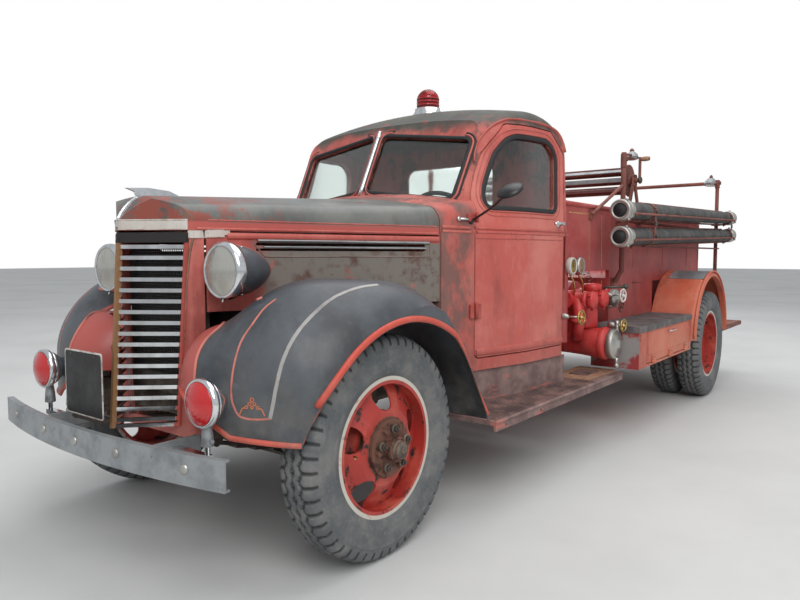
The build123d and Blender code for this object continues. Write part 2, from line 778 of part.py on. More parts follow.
def side_prism(outline, radius, grow, from_y, reach):
    """A closed block across the cab with this side-view outline, from this Y towards the right."""
    with BuildPart() as block:
        with BuildSketch(upright(from_y)) as shape:
            Polygon(*[(ahead(place), z) for place, z in outline])
            fillet(shape.vertices(), radius)
            if grow:
                offset(amount=grow)
        extrude(amount=reach)
    return block.part


cab_outer = upper_cab(0) + lower_cab(0)
cab_inner = upper_cab(cab_wall) + lower_cab(cab_wall)
window_block = side_prism(window_outline, 40, 0, 1000, 400)
door_opening = side_prism(door_outline, 30, door_gap, 1000, 440)
door_leaf = side_prism(door_outline, 30, 0, 1000, 400)


def shield_sketch_block(side, near, far):
    """One windshield pane's outline, from depth near to depth far under the surface."""
    with BuildPart() as pane:
        with BuildSketch(shield_plane(side, near)) as outline:
            Polygon((18, -side * 22), (373, -side * 22), (334, -side * 580), (-18, -side * 560))
            fillet(outline.vertices(), 38)
        extrude(amount=near - far)
    return pane.part


with BuildPart() as cowl:
    add(crowned_loft(hood_rear, cowl_rear, cowl_half, cowl_rear_half, 0, belt_z - 1))
    inside = crowned_loft(hood_rear, cowl_rear, cowl_half, cowl_rear_half, cab_wall, belt_z - 2)
    add(inside, mode=Mode.SUBTRACT)
    add(upper_cab(cab_wall), mode=Mode.SUBTRACT)

with BuildPart() as cab_floor:
    add(lower_cab(cab_wall / 2))
    with Locations((ahead(-1150), 0, cab_floor_z + floor_thickness / 2)):
        Box(1200, 2000, floor_thickness, mode=Mode.INTERSECT)

with BuildPart() as cab:
    add(cab_outer)
    add(cab_inner, mode=Mode.SUBTRACT)
    add(cowl.part)
    add(cab_floor.part)
    with Locations((ahead(-1400), 0, 860)):
        Box(330, 1100, 300)
    with Locations((ahead(-1150), 0, (cab_floor_z + cab_skirt_z) / 2 - 20)):
        Box(1100, 2 * rail_outer_y + 20, cab_floor_z - cab_skirt_z + 40, mode=Mode.SUBTRACT)
    add(door_opening, mode=Mode.SUBTRACT)
    add(mirror(door_opening, about=Plane.XZ), mode=Mode.SUBTRACT)
    for side in sides:
        add(shield_sketch_block(side, -60, 90), mode=Mode.SUBTRACT)
    with BuildSketch(Plane.YZ.offset(cab_rear_x - 10)) as rear_light:
        with Locations((0, (rear_window_foot_z + rear_window_head_z) / 2)):
            RectangleRounded(2 * rear_window_half, rear_window_head_z - rear_window_foot_z, 60)
    extrude(amount=80, mode=Mode.SUBTRACT)
save(cab.part, "cab_shell")

rear_outline = RectangleRounded(2 * rear_window_half, rear_window_head_z - rear_window_foot_z, 60)
rear_middle_z = (rear_window_foot_z + rear_window_head_z) / 2
rear_pane = Pos(cab_rear_x + 15, 0, rear_middle_z) * extrude(Plane.YZ * rear_outline, glass_thickness)
panes = [shield_sketch_block(side, glass_depth, glass_depth + glass_thickness) for side in sides]
save(Compound(children=[pane.solids()[0] for pane in (*panes, rear_pane)]), "cab_glass")

with BuildPart() as door:
    add(cab_outer)
    add(door_leaf, mode=Mode.INTERSECT)
    add(upper_cab(door_wall + belt_step), mode=Mode.SUBTRACT)
    add(lower_cab(door_wall), mode=Mode.SUBTRACT)
    add(window_block, mode=Mode.SUBTRACT)
save_each(door.part, "door")
with BuildPart() as door_glass:
    add(upper_cab(glass_depth))
    add(window_block, mode=Mode.INTERSECT)
    add(upper_cab(glass_depth + glass_thickness), mode=Mode.SUBTRACT)
save_each(door_glass.part, "door_glass")

# Front fenders: one loft through six upright sections with a large shoulder, hollow and open under
fender_front_foot_z = 300
fender_rear_foot_z = 442
apron_y = 424
# Sections in side view: Y, then (distance ahead, z) of the front, shoulder, crown, rear and tail
fender_sections = (
    (255, ((490, 690), (405, 880), (95, 1030), (-330, 915), (-600, 442))),
    (440, ((592, 735), (470, 925), (60, 1046), (-330, 935), (-612, 442))),
    (620, ((556, 725), (485, 935), (110, 1084), (-330, 945), (-618, 442))),
    (780, ((485, 715), (405, 915), (100, 1076), (-330, 942), (-620, 442))),
    (890, ((390, 690), (330, 850), (70, 1015), (-330, 905), (-618, 442))),
    (940, ((262, 660), (215, 760), (30, 925), (-330, 820), (-612, 442))),
)
fender_outer_y = fender_sections[-1][0]
# Wheel opening as (distance ahead, z): rear foot, rear, top, front, front foot
arch_outline = ((-590, 400), (-380, 792), (-10, 927), (303, 800), (447, 540))
# Front lip seen from ahead as (Y, z): it rises towards the grille
fender_lip = ((250, 690), (300, 690), (430, 640), (600, 545), (1000, 525), (1000, 200), (250, 200))


def fender_face(outline, inset):
    """One fender section as a closed face, shrunk by the inset."""
    front, shoulder, crown, rear, tail = [(ahead(place), z) for place, z in outline]
    with BuildSketch() as face:
        with BuildLine():
            Line((front[0], fender_front_foot_z), front)
            nose = TangentArc(front, shoulder, tangent=(0, 1))
            top = TangentArc(shoulder, crown, tangent=nose % 1)
            back = TangentArc(crown, rear, tangent=top % 1)
            TangentArc(rear, tail, tangent=back % 1)
            Polyline(tail, (tail[0], fender_front_foot_z), (front[0], fender_front_foot_z))
        make_face()
        if inset:
            offset(amount=-inset)
    return face.sketch


def fender_form(inset):
    """The fender as a closed form, shrunk by the inset."""
    with BuildPart() as form:
        for place, outline in fender_sections:
            with BuildSketch(upright(min(place, fender_outer_y - inset))):
                add(fender_face(outline, inset))
        loft()
    return form.part


with BuildPart() as fender:
    add(fender_form(0))
    add(fender_form(sheet), mode=Mode.SUBTRACT)
    with BuildSketch(Plane.YZ.offset(front_axle_x)):
        Polygon(*fender_lip)
    extrude(amount=1000, mode=Mode.SUBTRACT)
    with Locations((ahead(-400), 620, fender_rear_foot_z - 200)):
        Box(800, 800, 400, mode=Mode.SUBTRACT)
    with BuildSketch(upright(560)):
        with BuildLine():
            rear_foot, rear_mid, top, front_mid, front_foot = [(ahead(place), z) for place, z in arch_outline]
            ThreePointArc(rear_foot, rear_mid, top)
            ThreePointArc(top, front_mid, front_foot)
            feet = ((front_foot[0], fender_front_foot_z), (rear_foot[0], fender_front_foot_z))
            Polyline(front_foot, *feet, rear_foot)
        make_face()
    extrude(amount=-500, mode=Mode.SUBTRACT)
    with Locations((ahead(-140), 0, 700)):
        Box(1160, 2 * apron_y, 2 * (side_base_z - 700), mode=Mode.SUBTRACT)
    with BuildSketch(Plane.XY.offset(side_base_z - 2)):
        Polygon(
            (ahead(700), 0),
            (ahead(700), hood_front_half + 2),
            (hood_corner_x, hood_front_half + 2),
            (ahead(-700), hood_half(ahead(-700)) + 1),
            (ahead(-700), 0),
        )
    extrude(amount=400, mode=Mode.SUBTRACT)
    with Locations((grille_back_x - shell_depth / 2, 0, 700)):
        Box(shell_depth + 60, 2 * (shell_half + shell_flare + 2), 1000, mode=Mode.SUBTRACT)
    with Locations((ahead(-50), apron_y - sheet / 2, 770)):
        Box(960, sheet, 300)
save_both(fender.part.solids().sort_by(SortBy.VOLUME)[-1], "front_fenders")

# Running boards: a ribbed tread plate with a turned edge and a riser to the cab's skirt
board_outer_y = 958
board_inner_y = 650
board_top_z = 432
board_thickness = 22
board_front_x = ahead(-624)
board_rear_x = ahead(-2250)
board_lip = 48
board_edge = 10
riser_inset = 6
with BuildPart() as board:
    with BuildSketch(Plane.YZ.offset(board_rear_x)):
        Polygon(
            (board_inner_y, board_top_z),
            (board_inner_y, board_top_z - board_thickness),
            (board_outer_y - board_edge, board_top_z - board_thickness),
            (board_outer_y - board_edge, board_top_z - board_lip),
            (board_outer_y, board_top_z - board_lip),
            (board_outer_y, board_top_z),
        )
    extrude(amount=board_front_x - board_rear_x)
    with BuildSketch(Plane.XY.offset(board_top_z)):
        riser = [(board_front_x, cowl_half - riser_inset)]
        riser += [(ahead(place), half - riser_inset) for place, half in cab_plan[1:]]
        Polygon(*riser, *[(x, y - board_edge) for x, y in reversed(riser)])
    extrude(amount=cab_skirt_z - 3 - board_top_z)
    for place in (-800, -1500, -2150):
        bracket_end_y = board_outer_y - 18
        bracket_y = (rail_outer_y + bracket_end_y) / 2
        with Locations((ahead(place), bracket_y, board_top_z - board_thickness - 10)):
            Box(50, bracket_end_y - rail_outer_y, 20)
        with Locations((ahead(place), rail_outer_y + 5, board_top_z - board_thickness + 60)):
            Box(50, 10, 160)
save_both(board.part, "running_boards")

# Hose body: an open box over the rear axle with wheel wells and a pump bay on the left
body_front_x = ahead(-1830)
body_rear_x = ahead(-4900)
body_half = 740
body_wall = 25
body_base_z = rail_top_z
body_top_z = 1490
bed_floor_z = 1020
wheel_well_reach = 510
wheel_well_inner_y = 655
wheel_well_top_z = 975
bay_front_x = ahead(-1880)
bay_rear_x = ahead(-2560)
bay_inner_y = 330
bay_top_z = 1075
with BuildPart() as hose_body:
    with BuildSketch(Plane.XY.offset(body_base_z)) as body_plan:
        with Locations(((body_front_x + body_rear_x) / 2, 0)):
            Rectangle(body_front_x - body_rear_x, 2 * body_half)
        fillet(body_plan.vertices(), 30)
    extrude(amount=body_top_z - body_base_z)
    with BuildSketch(Plane.XY.offset(bed_floor_z)) as bed_plan:
        with Locations(((body_front_x + body_rear_x) / 2, 0)):
            Rectangle(body_front_x - body_rear_x - 2 * body_wall, 2 * (body_half - body_wall))
        fillet(bed_plan.vertices(), 30 - body_wall / 2)
    extrude(amount=body_top_z - bed_floor_z, mode=Mode.SUBTRACT)
    for side in sides:
        well_z = (body_base_z + wheel_well_top_z) / 2 - 5
        with Locations((rear_axle_x, side * (wheel_well_inner_y + 200), well_z)):
            Box(2 * wheel_well_reach, 400, wheel_well_top_z - body_base_z + 10, mode=Mode.SUBTRACT)
    bay_y = (bay_inner_y + body_half) / 2 + 50
    bay_middle = ((bay_front_x + bay_rear_x) / 2, bay_y, (body_base_z + bay_top_z) / 2)
    bay_size = (bay_front_x - bay_rear_x, body_half - bay_inner_y + 100, bay_top_z - body_base_z)
    with Locations(bay_middle):
        Box(*bay_size, mode=Mode.SUBTRACT)
save(hose_body.part, "hose_body")

# Fire pump in its bay: casing, suction elbow, discharge manifold and valves
pump_x = ahead(-2180)
pump_z = 860
suction_x = ahead(-2155)
suction_z = 620
with BuildPart() as pump:
    with BuildSketch(upright(bay_inner_y)):
        with Locations((pump_x, pump_z)):
            Circle(150)
    extrude(amount=-330)
    with BuildSketch(upright(bay_inner_y + 330)):
        with Locations((pump_x, pump_z)):
            Circle(105)
    extrude(amount=-80)
    with BuildSketch(Plane.YZ.offset(bay_front_x - 40)):
        with Locations((690, 900)):
            Circle(58)
    extrude(amount=-470)
    for place in (-2000, -2180, -2370):
        with BuildSketch(upright(690)):
            with Locations((ahead(place), 900)):
                Circle(44)
        extrude(amount=-140)
    with BuildSketch(upright(560)):
        with Locations((suction_x, suction_z)):
            Circle(78)
    extrude(amount=-350)
    with Locations((suction_x - 10, 600, 740)):
        Box(150, 140, 150)
save(pump.part, "fire_pump")

with BuildPart() as fittings:
    for place in (-2000, -2180, -2370):
        with BuildSketch(upright(830)):
            with Locations((ahead(place), 900)):
                Circle(50)
        extrude(amount=-34)
    with BuildSketch(upright(910)):
        with Locations((suction_x, suction_z)):
            Circle(88)
    extrude(amount=-40)
    for place in (-1880, -2005):
        with BuildSketch(upright(body_half)):
            with Locations((ahead(place), 1112)):
                Circle(46)
        extrude(amount=-30)
save(fittings.part, "pump_fittings")

# Side boxes ahead of the rear wheels, each with a drop-down door
box_front_x = ahead(-2262)
box_rear_x = ahead(-3468)
box_outer_y = 1056
box_base_z = 452
box_top_z = 716
box_wall = 12
box_door_front_x = ahead(-2420)
box_door_rear_x = ahead(-3420)
box_door_base_z = 474
box_door_top_z = 690
box_door_thickness = 18
box_y = (body_half + box_outer_y + 1) / 2
box_centre = ((box_front_x + box_rear_x) / 2, box_y, (box_base_z + box_top_z) / 2)
box_length = box_front_x - box_rear_x
box_depth = box_outer_y - body_half - 1
box_height = box_top_z - box_base_z
box_door_x = (box_door_front_x + box_door_rear_x) / 2
box_door_z = (box_door_base_z + box_door_top_z) / 2
box_door_length = box_door_front_x - box_door_rear_x
box_door_height = box_door_top_z - box_door_base_z
with BuildPart() as side_box:
    with Locations(box_centre):
        Box(box_length, box_depth, box_height)
        Box(
            box_length - 2 * box_wall,
            box_depth - 2 * box_wall,
            box_height - 2 * box_wall,
            mode=Mode.SUBTRACT,
        )
    with Locations((box_door_x, box_outer_y, box_door_z)):
        Box(box_door_length + 2 * panel_gap, 60, box_door_height + 2 * panel_gap, mode=Mode.SUBTRACT)
save_both(side_box.part, "side_boxes")

with BuildPart() as box_door:
    with Locations((box_door_x, box_outer_y - box_door_thickness / 2, box_door_z)):
        Box(box_door_length, box_door_thickness, box_door_height)
save_each(box_door.part, "box_door")

# Rear fenders: a half-round sheet over the twin wheels with a turned outer edge
rear_fender_centre = (ahead(-4000), 516)
rear_fender_radius = 530
rear_fender_outer_y = overall_width / 2
rear_fender_inner_y = body_half + 1
with BuildPart() as rear_fender:
    with BuildSketch(upright(rear_fender_inner_y)):
        with Locations(rear_fender_centre):
            Circle(rear_fender_radius)
    extrude(amount=-(rear_fender_outer_y - rear_fender_inner_y))
    outer_rim = rear_fender.edges().filter_by(GeomType.CIRCLE).sort_by(Axis.Y)[-1]
    fillet(outer_rim, 42)
    with BuildSketch(upright(rear_fender_inner_y)):
        with Locations(rear_fender_centre):
            Circle(rear_fender_radius - sheet)
    extrude(amount=-(rear_fender_outer_y - rear_fender_inner_y - sheet - 37), mode=Mode.SUBTRACT)
    with BuildSketch(upright(rear_fender_inner_y)):
        with Locations(rear_fender_centre):
            Circle(rear_fender_radius - 42)
    extrude(amount=-(rear_fender_outer_y - rear_fender_inner_y + 1), mode=Mode.SUBTRACT)
    with Locations((rear_fender_centre[0], 900, rear_fender_centre[1] - 300)):
        Box(1200, 800, 600, mode=Mode.SUBTRACT)
save_both(rear_fender.part, "rear_fenders")

# Tailboard behind the body, with wings beside it
tail_rear_x = behind(rear_overhang)
tail_top_z = 522
tail_thickness = 30
tail_half = 1050
tail_wing_front_x = ahead(-4540)
with BuildPart() as tailboard:
    with BuildSketch(Plane.XY.offset(tail_top_z - tail_thickness)):
        with Locations(((body_rear_x - 2 + tail_rear_x) / 2, 0)):
            Rectangle(body_rear_x - 2 - tail_rear_x, 2 * tail_half)
        for side in sides:
            with Locations(((tail_wing_front_x + tail_rear_x) / 2, side * (body_half + 2 + tail_half) / 2)):
                Rectangle(tail_wing_front_x - tail_rear_x, tail_half - body_half - 2)
    extrude(amount=tail_thickness)
    for side in sides:
        with Locations((ahead(-4860), side * 370, (tail_top_z - tail_thickness + 440) / 2)):
            Box(300, 50, tail_top_z - tail_thickness - 440)
save(tailboard.part, "tailboard")

# Hard suction hoses on the left side, each a straight tube with a coupling at both ends
hose_y = 950
hose_radius = 54
hose_bore = 44
coupling_radius = 64
hose_front_x = ahead(-2180)
hose_length = 2990
hose_rise = 76
coupling_front = 110
coupling_rear = 90
# Front end heights of the upper and lower hose
hose_heights = (1459, 1293)


def hose_plane(height, along=0):
    """A cross plane on one hose's axis, this far along it from its front end."""
    direction = Vector(-hose_length, 0, hose_rise).normalized()
    start = Vector(hose_front_x, hose_y, height) + direction * along
    return Plane(origin=start, x_dir=(0, 1, 0), z_dir=direction)


hose_solids = []
coupling_solids = []
for height in hose_heights:
    with BuildPart() as suction_hose:
        with BuildSketch(hose_plane(height)):
            Circle(hose_radius)
            Circle(hose_bore, mode=Mode.SUBTRACT)
        extrude(amount=hose_length)
    hose_solids.append(suction_hose.part.solids()[0])
    for along, length in ((-18, coupling_front), (hose_length - coupling_rear + 18, coupling_rear)):
        with BuildPart() as coupling:
            with BuildSketch(hose_plane(height, along)):
                Circle(coupling_radius)
                Circle(hose_bore, mode=Mode.SUBTRACT)
            extrude(amount=length)
            with BuildSketch(hose_plane(height)):
                Circle(hose_radius)
            extrude(amount=hose_length, mode=Mode.SUBTRACT)
        coupling_solids.append(coupling.part.solids()[0])
save(Compound(children=hose_solids), "suction_hoses")
save(Compound(children=coupling_solids), "hose_couplings")

# Gantry: posts beside the body front and rear, with a bar across the rear
post_radius = 17
front_post_x = ahead(-2620)
front_post_y = 805
front_post_top_z = 1875
rear_post_x = ahead(-5100)
rear_post_y = 850
gantry_top_z = 1895
brace_radius = 11


def rod(start, end, radius):
    """A round bar between two points."""
    run = Vector(*end) - Vector(*start)
    with BuildPart() as bar:
        with BuildSketch(Plane(origin=start, z_dir=run)):
            Circle(radius)
        extrude(amount=run.length)
    return bar.part


upright_foot = (front_post_x, front_post_y, 1060)
upright_head = (front_post_x, front_post_y, front_post_top_z)
upright_bar = rod(upright_foot, upright_head, post_radius)
bent_foot = rod(
    (front_post_x, body_half + post_radius + 2, 990), (front_post_x, front_post_y, 1075), post_radius
)
diagonal = rod((ahead(-2200), body_half + 14, 1440), (front_post_x, front_post_y, 1660), brace_radius)
with BuildPart() as front_posts:
    add(upright_bar)
    add(bent_foot)
    with Locations((front_post_x, body_half + 4, 985)):
        Box(60, 8, 70)
    add(diagonal)
    with Locations((ahead(-2200), body_half + 7, 1440)):
        Box(40, 14, 60)
rear_bars = [
    rod(
        (rear_post_x, -rear_post_y - 30, gantry_top_z - 20),
        (rear_post_x, rear_post_y + 30, gantry_top_z - 20),
        post_radius,
    )
]
for side in sides:
    rear_bars.append(
        rod(
            (rear_post_x, side * rear_post_y, tail_top_z),
            (rear_post_x, side * rear_post_y, gantry_top_z),
            post_radius,
        )
    )
    for end in sides:
        brace_foot = (rear_post_x + end * 70, side * rear_post_y, tail_top_z)
        rear_bars.append(rod(brace_foot, (rear_post_x, side * rear_post_y, tail_top_z + 600), brace_radius))
with BuildPart() as gantry:
    for bar in rear_bars:
        add(bar)
    with Locations((rear_post_x, 0, tail_top_z - 50)):
        Box(400, 2 * tail_half, 100, mode=Mode.SUBTRACT)
right_posts = mirror(front_posts.part, about=Plane.XZ)
posts = [*front_posts.part.solids(), *right_posts.solids(), *gantry.part.solids()]
save(Compound(children=posts), "gantry_posts")

# Hose rack: arms out from the posts, with a strap loop round each hose
strap_width = 34
strap_thickness = 5
rack_solids = []
for place, post_y in ((front_post_x - 60, body_half), (rear_post_x + 60, rear_post_y)):
    with BuildPart() as rack_arm:
        for height in hose_heights:
            along = (hose_front_x - place) * hose_length / hypot(hose_length, hose_rise)
            centre_z = height + along * hose_rise / hose_length
            with BuildSketch(Plane.YZ.offset(place - strap_width / 2)):
                with Locations((hose_y, centre_z)):
                    Circle(hose_radius + 1.5 + strap_thickness)
                    Circle(hose_radius + 1.5, mode=Mode.SUBTRACT)
            extrude(amount=strap_width)
            with Locations((place, (post_y + hose_y) / 2, centre_z - hose_radius - 10)):
                Box(30, hose_y - post_y, 12)
            if place > rear_post_x:
                with Locations(((place + rear_post_x) / 2, rear_post_y, centre_z - hose_radius - 10)):
                    Box(place - rear_post_x + 30, 60, 12)
        with Locations((rear_post_x, rear_post_y, 1400)):
            Cylinder(post_radius, 800, mode=Mode.SUBTRACT)
    rack_solids += rack_arm.part.solids()
save(Compound(children=rack_solids), "hose_rack")

# Hose reel: an open drum across the bed between two end discs, with a crank on the left
reel_x = ahead(-2970)
reel_z = 1722
reel_disc_radius = 114
reel_disc_y = 720
reel_axle_radius = 17
reel_slats = 8
reel_slat_circle = 88
trestle_y = 760
trestle_bar = 12
crank_y = 806
crank_reach = 150
bearing_half = 34
with BuildPart() as reel:
    with BuildSketch(upright(-crank_y)):
        with Locations((reel_x, reel_z)):
            Circle(reel_axle_radius)
    extrude(amount=-2 * crank_y)
    for side in sides:
        with BuildSketch(upright(side * reel_disc_y)):
            with Locations((reel_x, reel_z)):
                Circle(reel_disc_radius)
                with PolarLocations(62, 6, start_angle=30):
                    Circle(13, mode=Mode.SUBTRACT)
        extrude(amount=3, both=True)
    with BuildSketch(upright(-reel_disc_y)):
        with Locations((reel_x, reel_z)):
            with PolarLocations(reel_slat_circle, reel_slats):
                Rectangle(16, 34)
    extrude(amount=-2 * reel_disc_y)
    with Locations((reel_x, crank_y - 6, reel_z + crank_reach / 2)):
        Box(30, 12, crank_reach + 30)
    with BuildSketch(upright(crank_y)):
        with Locations((reel_x, reel_z + crank_reach)):
            Circle(13)
    extrude(amount=-62)
save(reel.part, "hose_reel")

with BuildPart() as trestle:
    with BuildSketch(upright(trestle_y + trestle_bar / 2)):
        for end in sides:
            Polygon(
                (reel_x + end * 4, reel_z + 20),
                (reel_x + end * 34, reel_z - 10),
                (reel_x + end * 170, body_top_z - 90),
                (reel_x + end * 134, body_top_z - 90),
                (reel_x - end * 4, reel_z - 20),
            )
        with Locations((reel_x, reel_z)):
            Rectangle(2 * bearing_half, 2 * bearing_half)
        with Locations((reel_x, reel_z)):
            Circle(reel_axle_radius + pin_clearance, mode=Mode.SUBTRACT)
    extrude(amount=trestle_bar)
    for end in sides:
        with Locations((reel_x + end * 148, (body_half + trestle_y) / 2 + 2, body_top_z - 60)):
            Box(44, trestle_y + 4 - body_half, 50)
save_both(trestle.part, "reel_trestle")

# Bench seat: a cushion and a back
with BuildPart() as seat_cushion:
    with Locations((ahead(-1345), 0, 1080)):
        Box(430, 1220, 130)
with BuildPart() as seat_back:
    with Locations((ahead(-1606), 0, 1270)):
        Box(70, 1220, 420)
save(Compound(children=[seat_cushion.part.solids()[0], seat_back.part.solids()[0]]), "bench_seat")

# Dashboard and steering column
column_foot = Vector(ahead(-760), 345, 1010)
wheel_centre = Vector(ahead(-1150), 345, 1352)
column_radius = 22
column_bore_gap = 0.05
steering_shaft_radius = 12
steering_wheel_radius = 212
steering_rim_radius = 12
column_direction = (wheel_centre - column_foot).normalized()
column_length = (wheel_centre - column_foot).length
hub_depth = 60
dashboard_half = 465
with BuildPart() as dashboard:
    with BuildSketch(Plane.XZ):
        outline = ((-852, 1366), (-930, 1385), (-960, 1360), (-950, 1190), (-852, 1230))
        Polygon(*[(ahead(place), z) for place, z in outline])
    extrude(amount=dashboard_half, both=True)
    with BuildSketch(Plane(origin=column_foot, z_dir=column_direction)):
        Circle(column_radius)
    extrude(amount=column_length - hub_depth)
    with BuildSketch(Plane(origin=column_foot, z_dir=column_direction)):
        Circle(steering_shaft_radius + column_bore_gap)
    extrude(amount=column_length, mode=Mode.SUBTRACT)
save(dashboard.part, "dashboard")

with BuildPart() as steering_wheel:
    with BuildSketch(Plane(origin=column_foot + column_direction * 120, z_dir=column_direction)):
        Circle(steering_shaft_radius)
    extrude(amount=column_length - 120)
    with BuildSketch(Plane(origin=wheel_centre - column_direction * (hub_depth - 8), z_dir=column_direction)):
        Circle(34)
    extrude(amount=hub_depth)
    rim_plane = Plane(origin=wheel_centre, z_dir=column_direction)
    with BuildSketch(Plane(origin=wheel_centre, x_dir=rim_plane.x_dir, z_dir=-rim_plane.y_dir)):
        with Locations((steering_wheel_radius, 0)):
            Circle(steering_rim_radius)
    revolve(axis=Axis(wheel_centre, column_direction))
    with BuildSketch(rim_plane.offset(-14)):
        for spoke in range(3):
            with PolarLocations(0, 1, start_angle=90 + 120 * spoke):
                with Locations((steering_wheel_radius / 2, 0)):
                    Rectangle(steering_wheel_radius, 24)
    extrude(amount=10)
save(steering_wheel.part, "steering_wheel")

# Roof beacon: a base that follows the roof and a domed lens
beacon_x = ahead(-1440)
beacon_radius = 78
lens_radius = 70
lens_straight_z = 2135
beacon_top_z = 2195
beacon_base_z = 2066
beacon_foot_z = 2000
dome_rise = beacon_top_z - lens_straight_z
dome_radius = (lens_radius**2 + dome_rise**2) / (2 * dome_rise)
with BuildPart() as beacon:
    with Locations((beacon_x, 0, (beacon_base_z + beacon_foot_z) / 2)):
        Cylinder(beacon_radius, beacon_base_z - beacon_foot_z)
    add(upper_cab(0), mode=Mode.SUBTRACT)
    with BuildSketch(Plane(origin=(beacon_x, 0, 0), x_dir=(1, 0, 0), z_dir=(0, -1, 0))):
        with BuildLine():
            Line((0, beacon_top_z), (0, beacon_base_z))
            Polyline((0, beacon_base_z), (lens_radius, beacon_base_z), (lens_radius, lens_straight_z))
            RadiusArc((lens_radius, lens_straight_z), (0, beacon_top_z), -dome_radius)
        make_face()
    revolve(axis=Axis((beacon_x, 0, 0), (0, 0, 1)))
save(beacon.part, "roof_beacon")

# Headlamps: torpedo shells beside the nose
headlamp_y = 400
headlamp_z = 1120
headlamp_x = ahead(431)
headlamp_radius = 102
headlamp_arm = 60
arm_x = headlamp_x - 2 * headlamp_arm
headlamp_length = 240
with BuildPart() as lamp_arm:
    with BuildSketch(Plane.XY.offset(headlamp_z - headlamp_arm / 2)):
        Polygon(
            (arm_x + headlamp_arm / 2, hood_half(arm_x + headlamp_arm / 2) + 1),
            (arm_x - headlamp_arm / 2, hood_half(arm_x - headlamp_arm / 2) + 1),
            (arm_x - headlamp_arm / 2, headlamp_y),
            (arm_x + headlamp_arm / 2, headlamp_y),
        )
    extrude(amount=headlamp_arm / 2)
with BuildPart() as headlamp:
    with BuildSketch(Plane(origin=(headlamp_x, headlamp_y, headlamp_z), x_dir=(1, 0, 0), z_dir=(0, 0, 1))):
        with BuildLine():
            Polyline((0, 0), (14, 0))
            ThreePointArc((14, 0), (8, 52), (0, headlamp_radius))
            Line((0, headlamp_radius), (-26, headlamp_radius))
            ThreePointArc((-26, headlamp_radius), (-150, 72), (-headlamp_length, 0))
            Line((-headlamp_length, 0), (0, 0))
        make_face()
    revolve(axis=Axis((headlamp_x, headlamp_y, headlamp_z), (1, 0, 0)))
    add(lamp_arm.part)
save_both(headlamp.part, "headlamps")

# Red warning lamps on posts ahead of the fenders
warning_y = 561
warning_z = 685
warning_x = ahead(652)
warning_radius = 80
with BuildPart() as warning_lamp:
    with BuildSketch(Plane(origin=(warning_x, warning_y, warning_z), x_dir=(1, 0, 0), z_dir=(0, 0, 1))):
        with BuildLine():
            Polyline((0, 0), (12, 0))
            ThreePointArc((12, 0), (7, 44), (0, warning_radius))
            Line((0, warning_radius), (-16, warning_radius))
            ThreePointArc((-16, warning_radius), (-44, 50), (-58, 0))
            Line((-58, 0), (0, 0))
        make_face()
    revolve(axis=Axis((warning_x, warning_y, warning_z), (1, 0, 0)))
    with Locations((warning_x - 26, warning_y, (warning_z - 60 + bumper_top_z - 40) / 2)):
        Cylinder(9, warning_z - 60 - bumper_top_z + 40)
    with Locations((warning_x - 26, (warning_y + iron_y) / 2 + 9, bumper_top_z - 50)):
        Box(30, warning_y - iron_y + 2, 20)
save_both(warning_lamp.part, "warning_lamps")
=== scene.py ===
"""Looks for a small old fire engine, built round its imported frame. Metres, +X forward, +Y left, +Z up."""
import math

import bmesh
import bpy
from mathutils import Matrix, Vector
from mathutils.bvhtree import BVHTree


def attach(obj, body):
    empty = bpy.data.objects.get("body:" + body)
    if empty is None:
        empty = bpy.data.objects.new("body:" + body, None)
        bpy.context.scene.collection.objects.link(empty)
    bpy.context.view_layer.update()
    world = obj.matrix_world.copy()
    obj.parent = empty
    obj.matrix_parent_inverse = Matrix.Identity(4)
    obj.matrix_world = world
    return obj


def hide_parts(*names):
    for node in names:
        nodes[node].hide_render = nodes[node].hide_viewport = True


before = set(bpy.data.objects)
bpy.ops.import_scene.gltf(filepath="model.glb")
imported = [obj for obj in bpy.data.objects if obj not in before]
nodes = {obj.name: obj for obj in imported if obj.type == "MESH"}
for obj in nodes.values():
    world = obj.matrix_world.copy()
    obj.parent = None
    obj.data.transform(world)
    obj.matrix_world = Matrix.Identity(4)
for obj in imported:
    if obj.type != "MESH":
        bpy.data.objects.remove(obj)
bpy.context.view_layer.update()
scene = bpy.context.scene

AXLE = 2.285
REAR = -1.741
WHEEL_Z = 0.438
HUB = 0.116
SIDES = {1: "left", -1: "right"}
X, Y, Z = Vector((1, 0, 0)), Vector((0, 1, 0)), Vector((0, 0, 1))


def ahead(distance):
    """The X of a place this far ahead of the front axle."""
    return AXLE + distance


def spaced(first, last, steps):
    """Evenly spaced numbers from first to last."""
    return [first + (last - first) * i / steps for i in range(steps + 1)]


# ---------------------------------------------------------------- camera, light and floor
WIDTH, HEIGHT = 800, 600
SENSOR = 36
FOCAL = 669.63
EYE = Vector((4.26821, 2.43200, 1.17880))
VIEW_WAY = Vector((-0.788929, -0.610815, -0.067059))
VIEW_RIGHT = Vector((-0.612201, 0.790702, 0.000146))
VIEW_UP = VIEW_RIGHT.cross(VIEW_WAY)

camera_data = bpy.data.cameras.new("camera")
camera = bpy.data.objects.new("camera", camera_data)
scene.collection.objects.link(camera)
turn = Matrix((VIEW_RIGHT, VIEW_UP, -VIEW_WAY)).transposed()
camera.matrix_world = Matrix.Translation(EYE) @ turn.to_4x4()
camera_data.sensor_width = SENSOR
camera_data.lens = FOCAL * SENSOR / WIDTH
camera_data.clip_end = 200
scene.camera = camera
scene.view_settings.view_transform = "Standard"

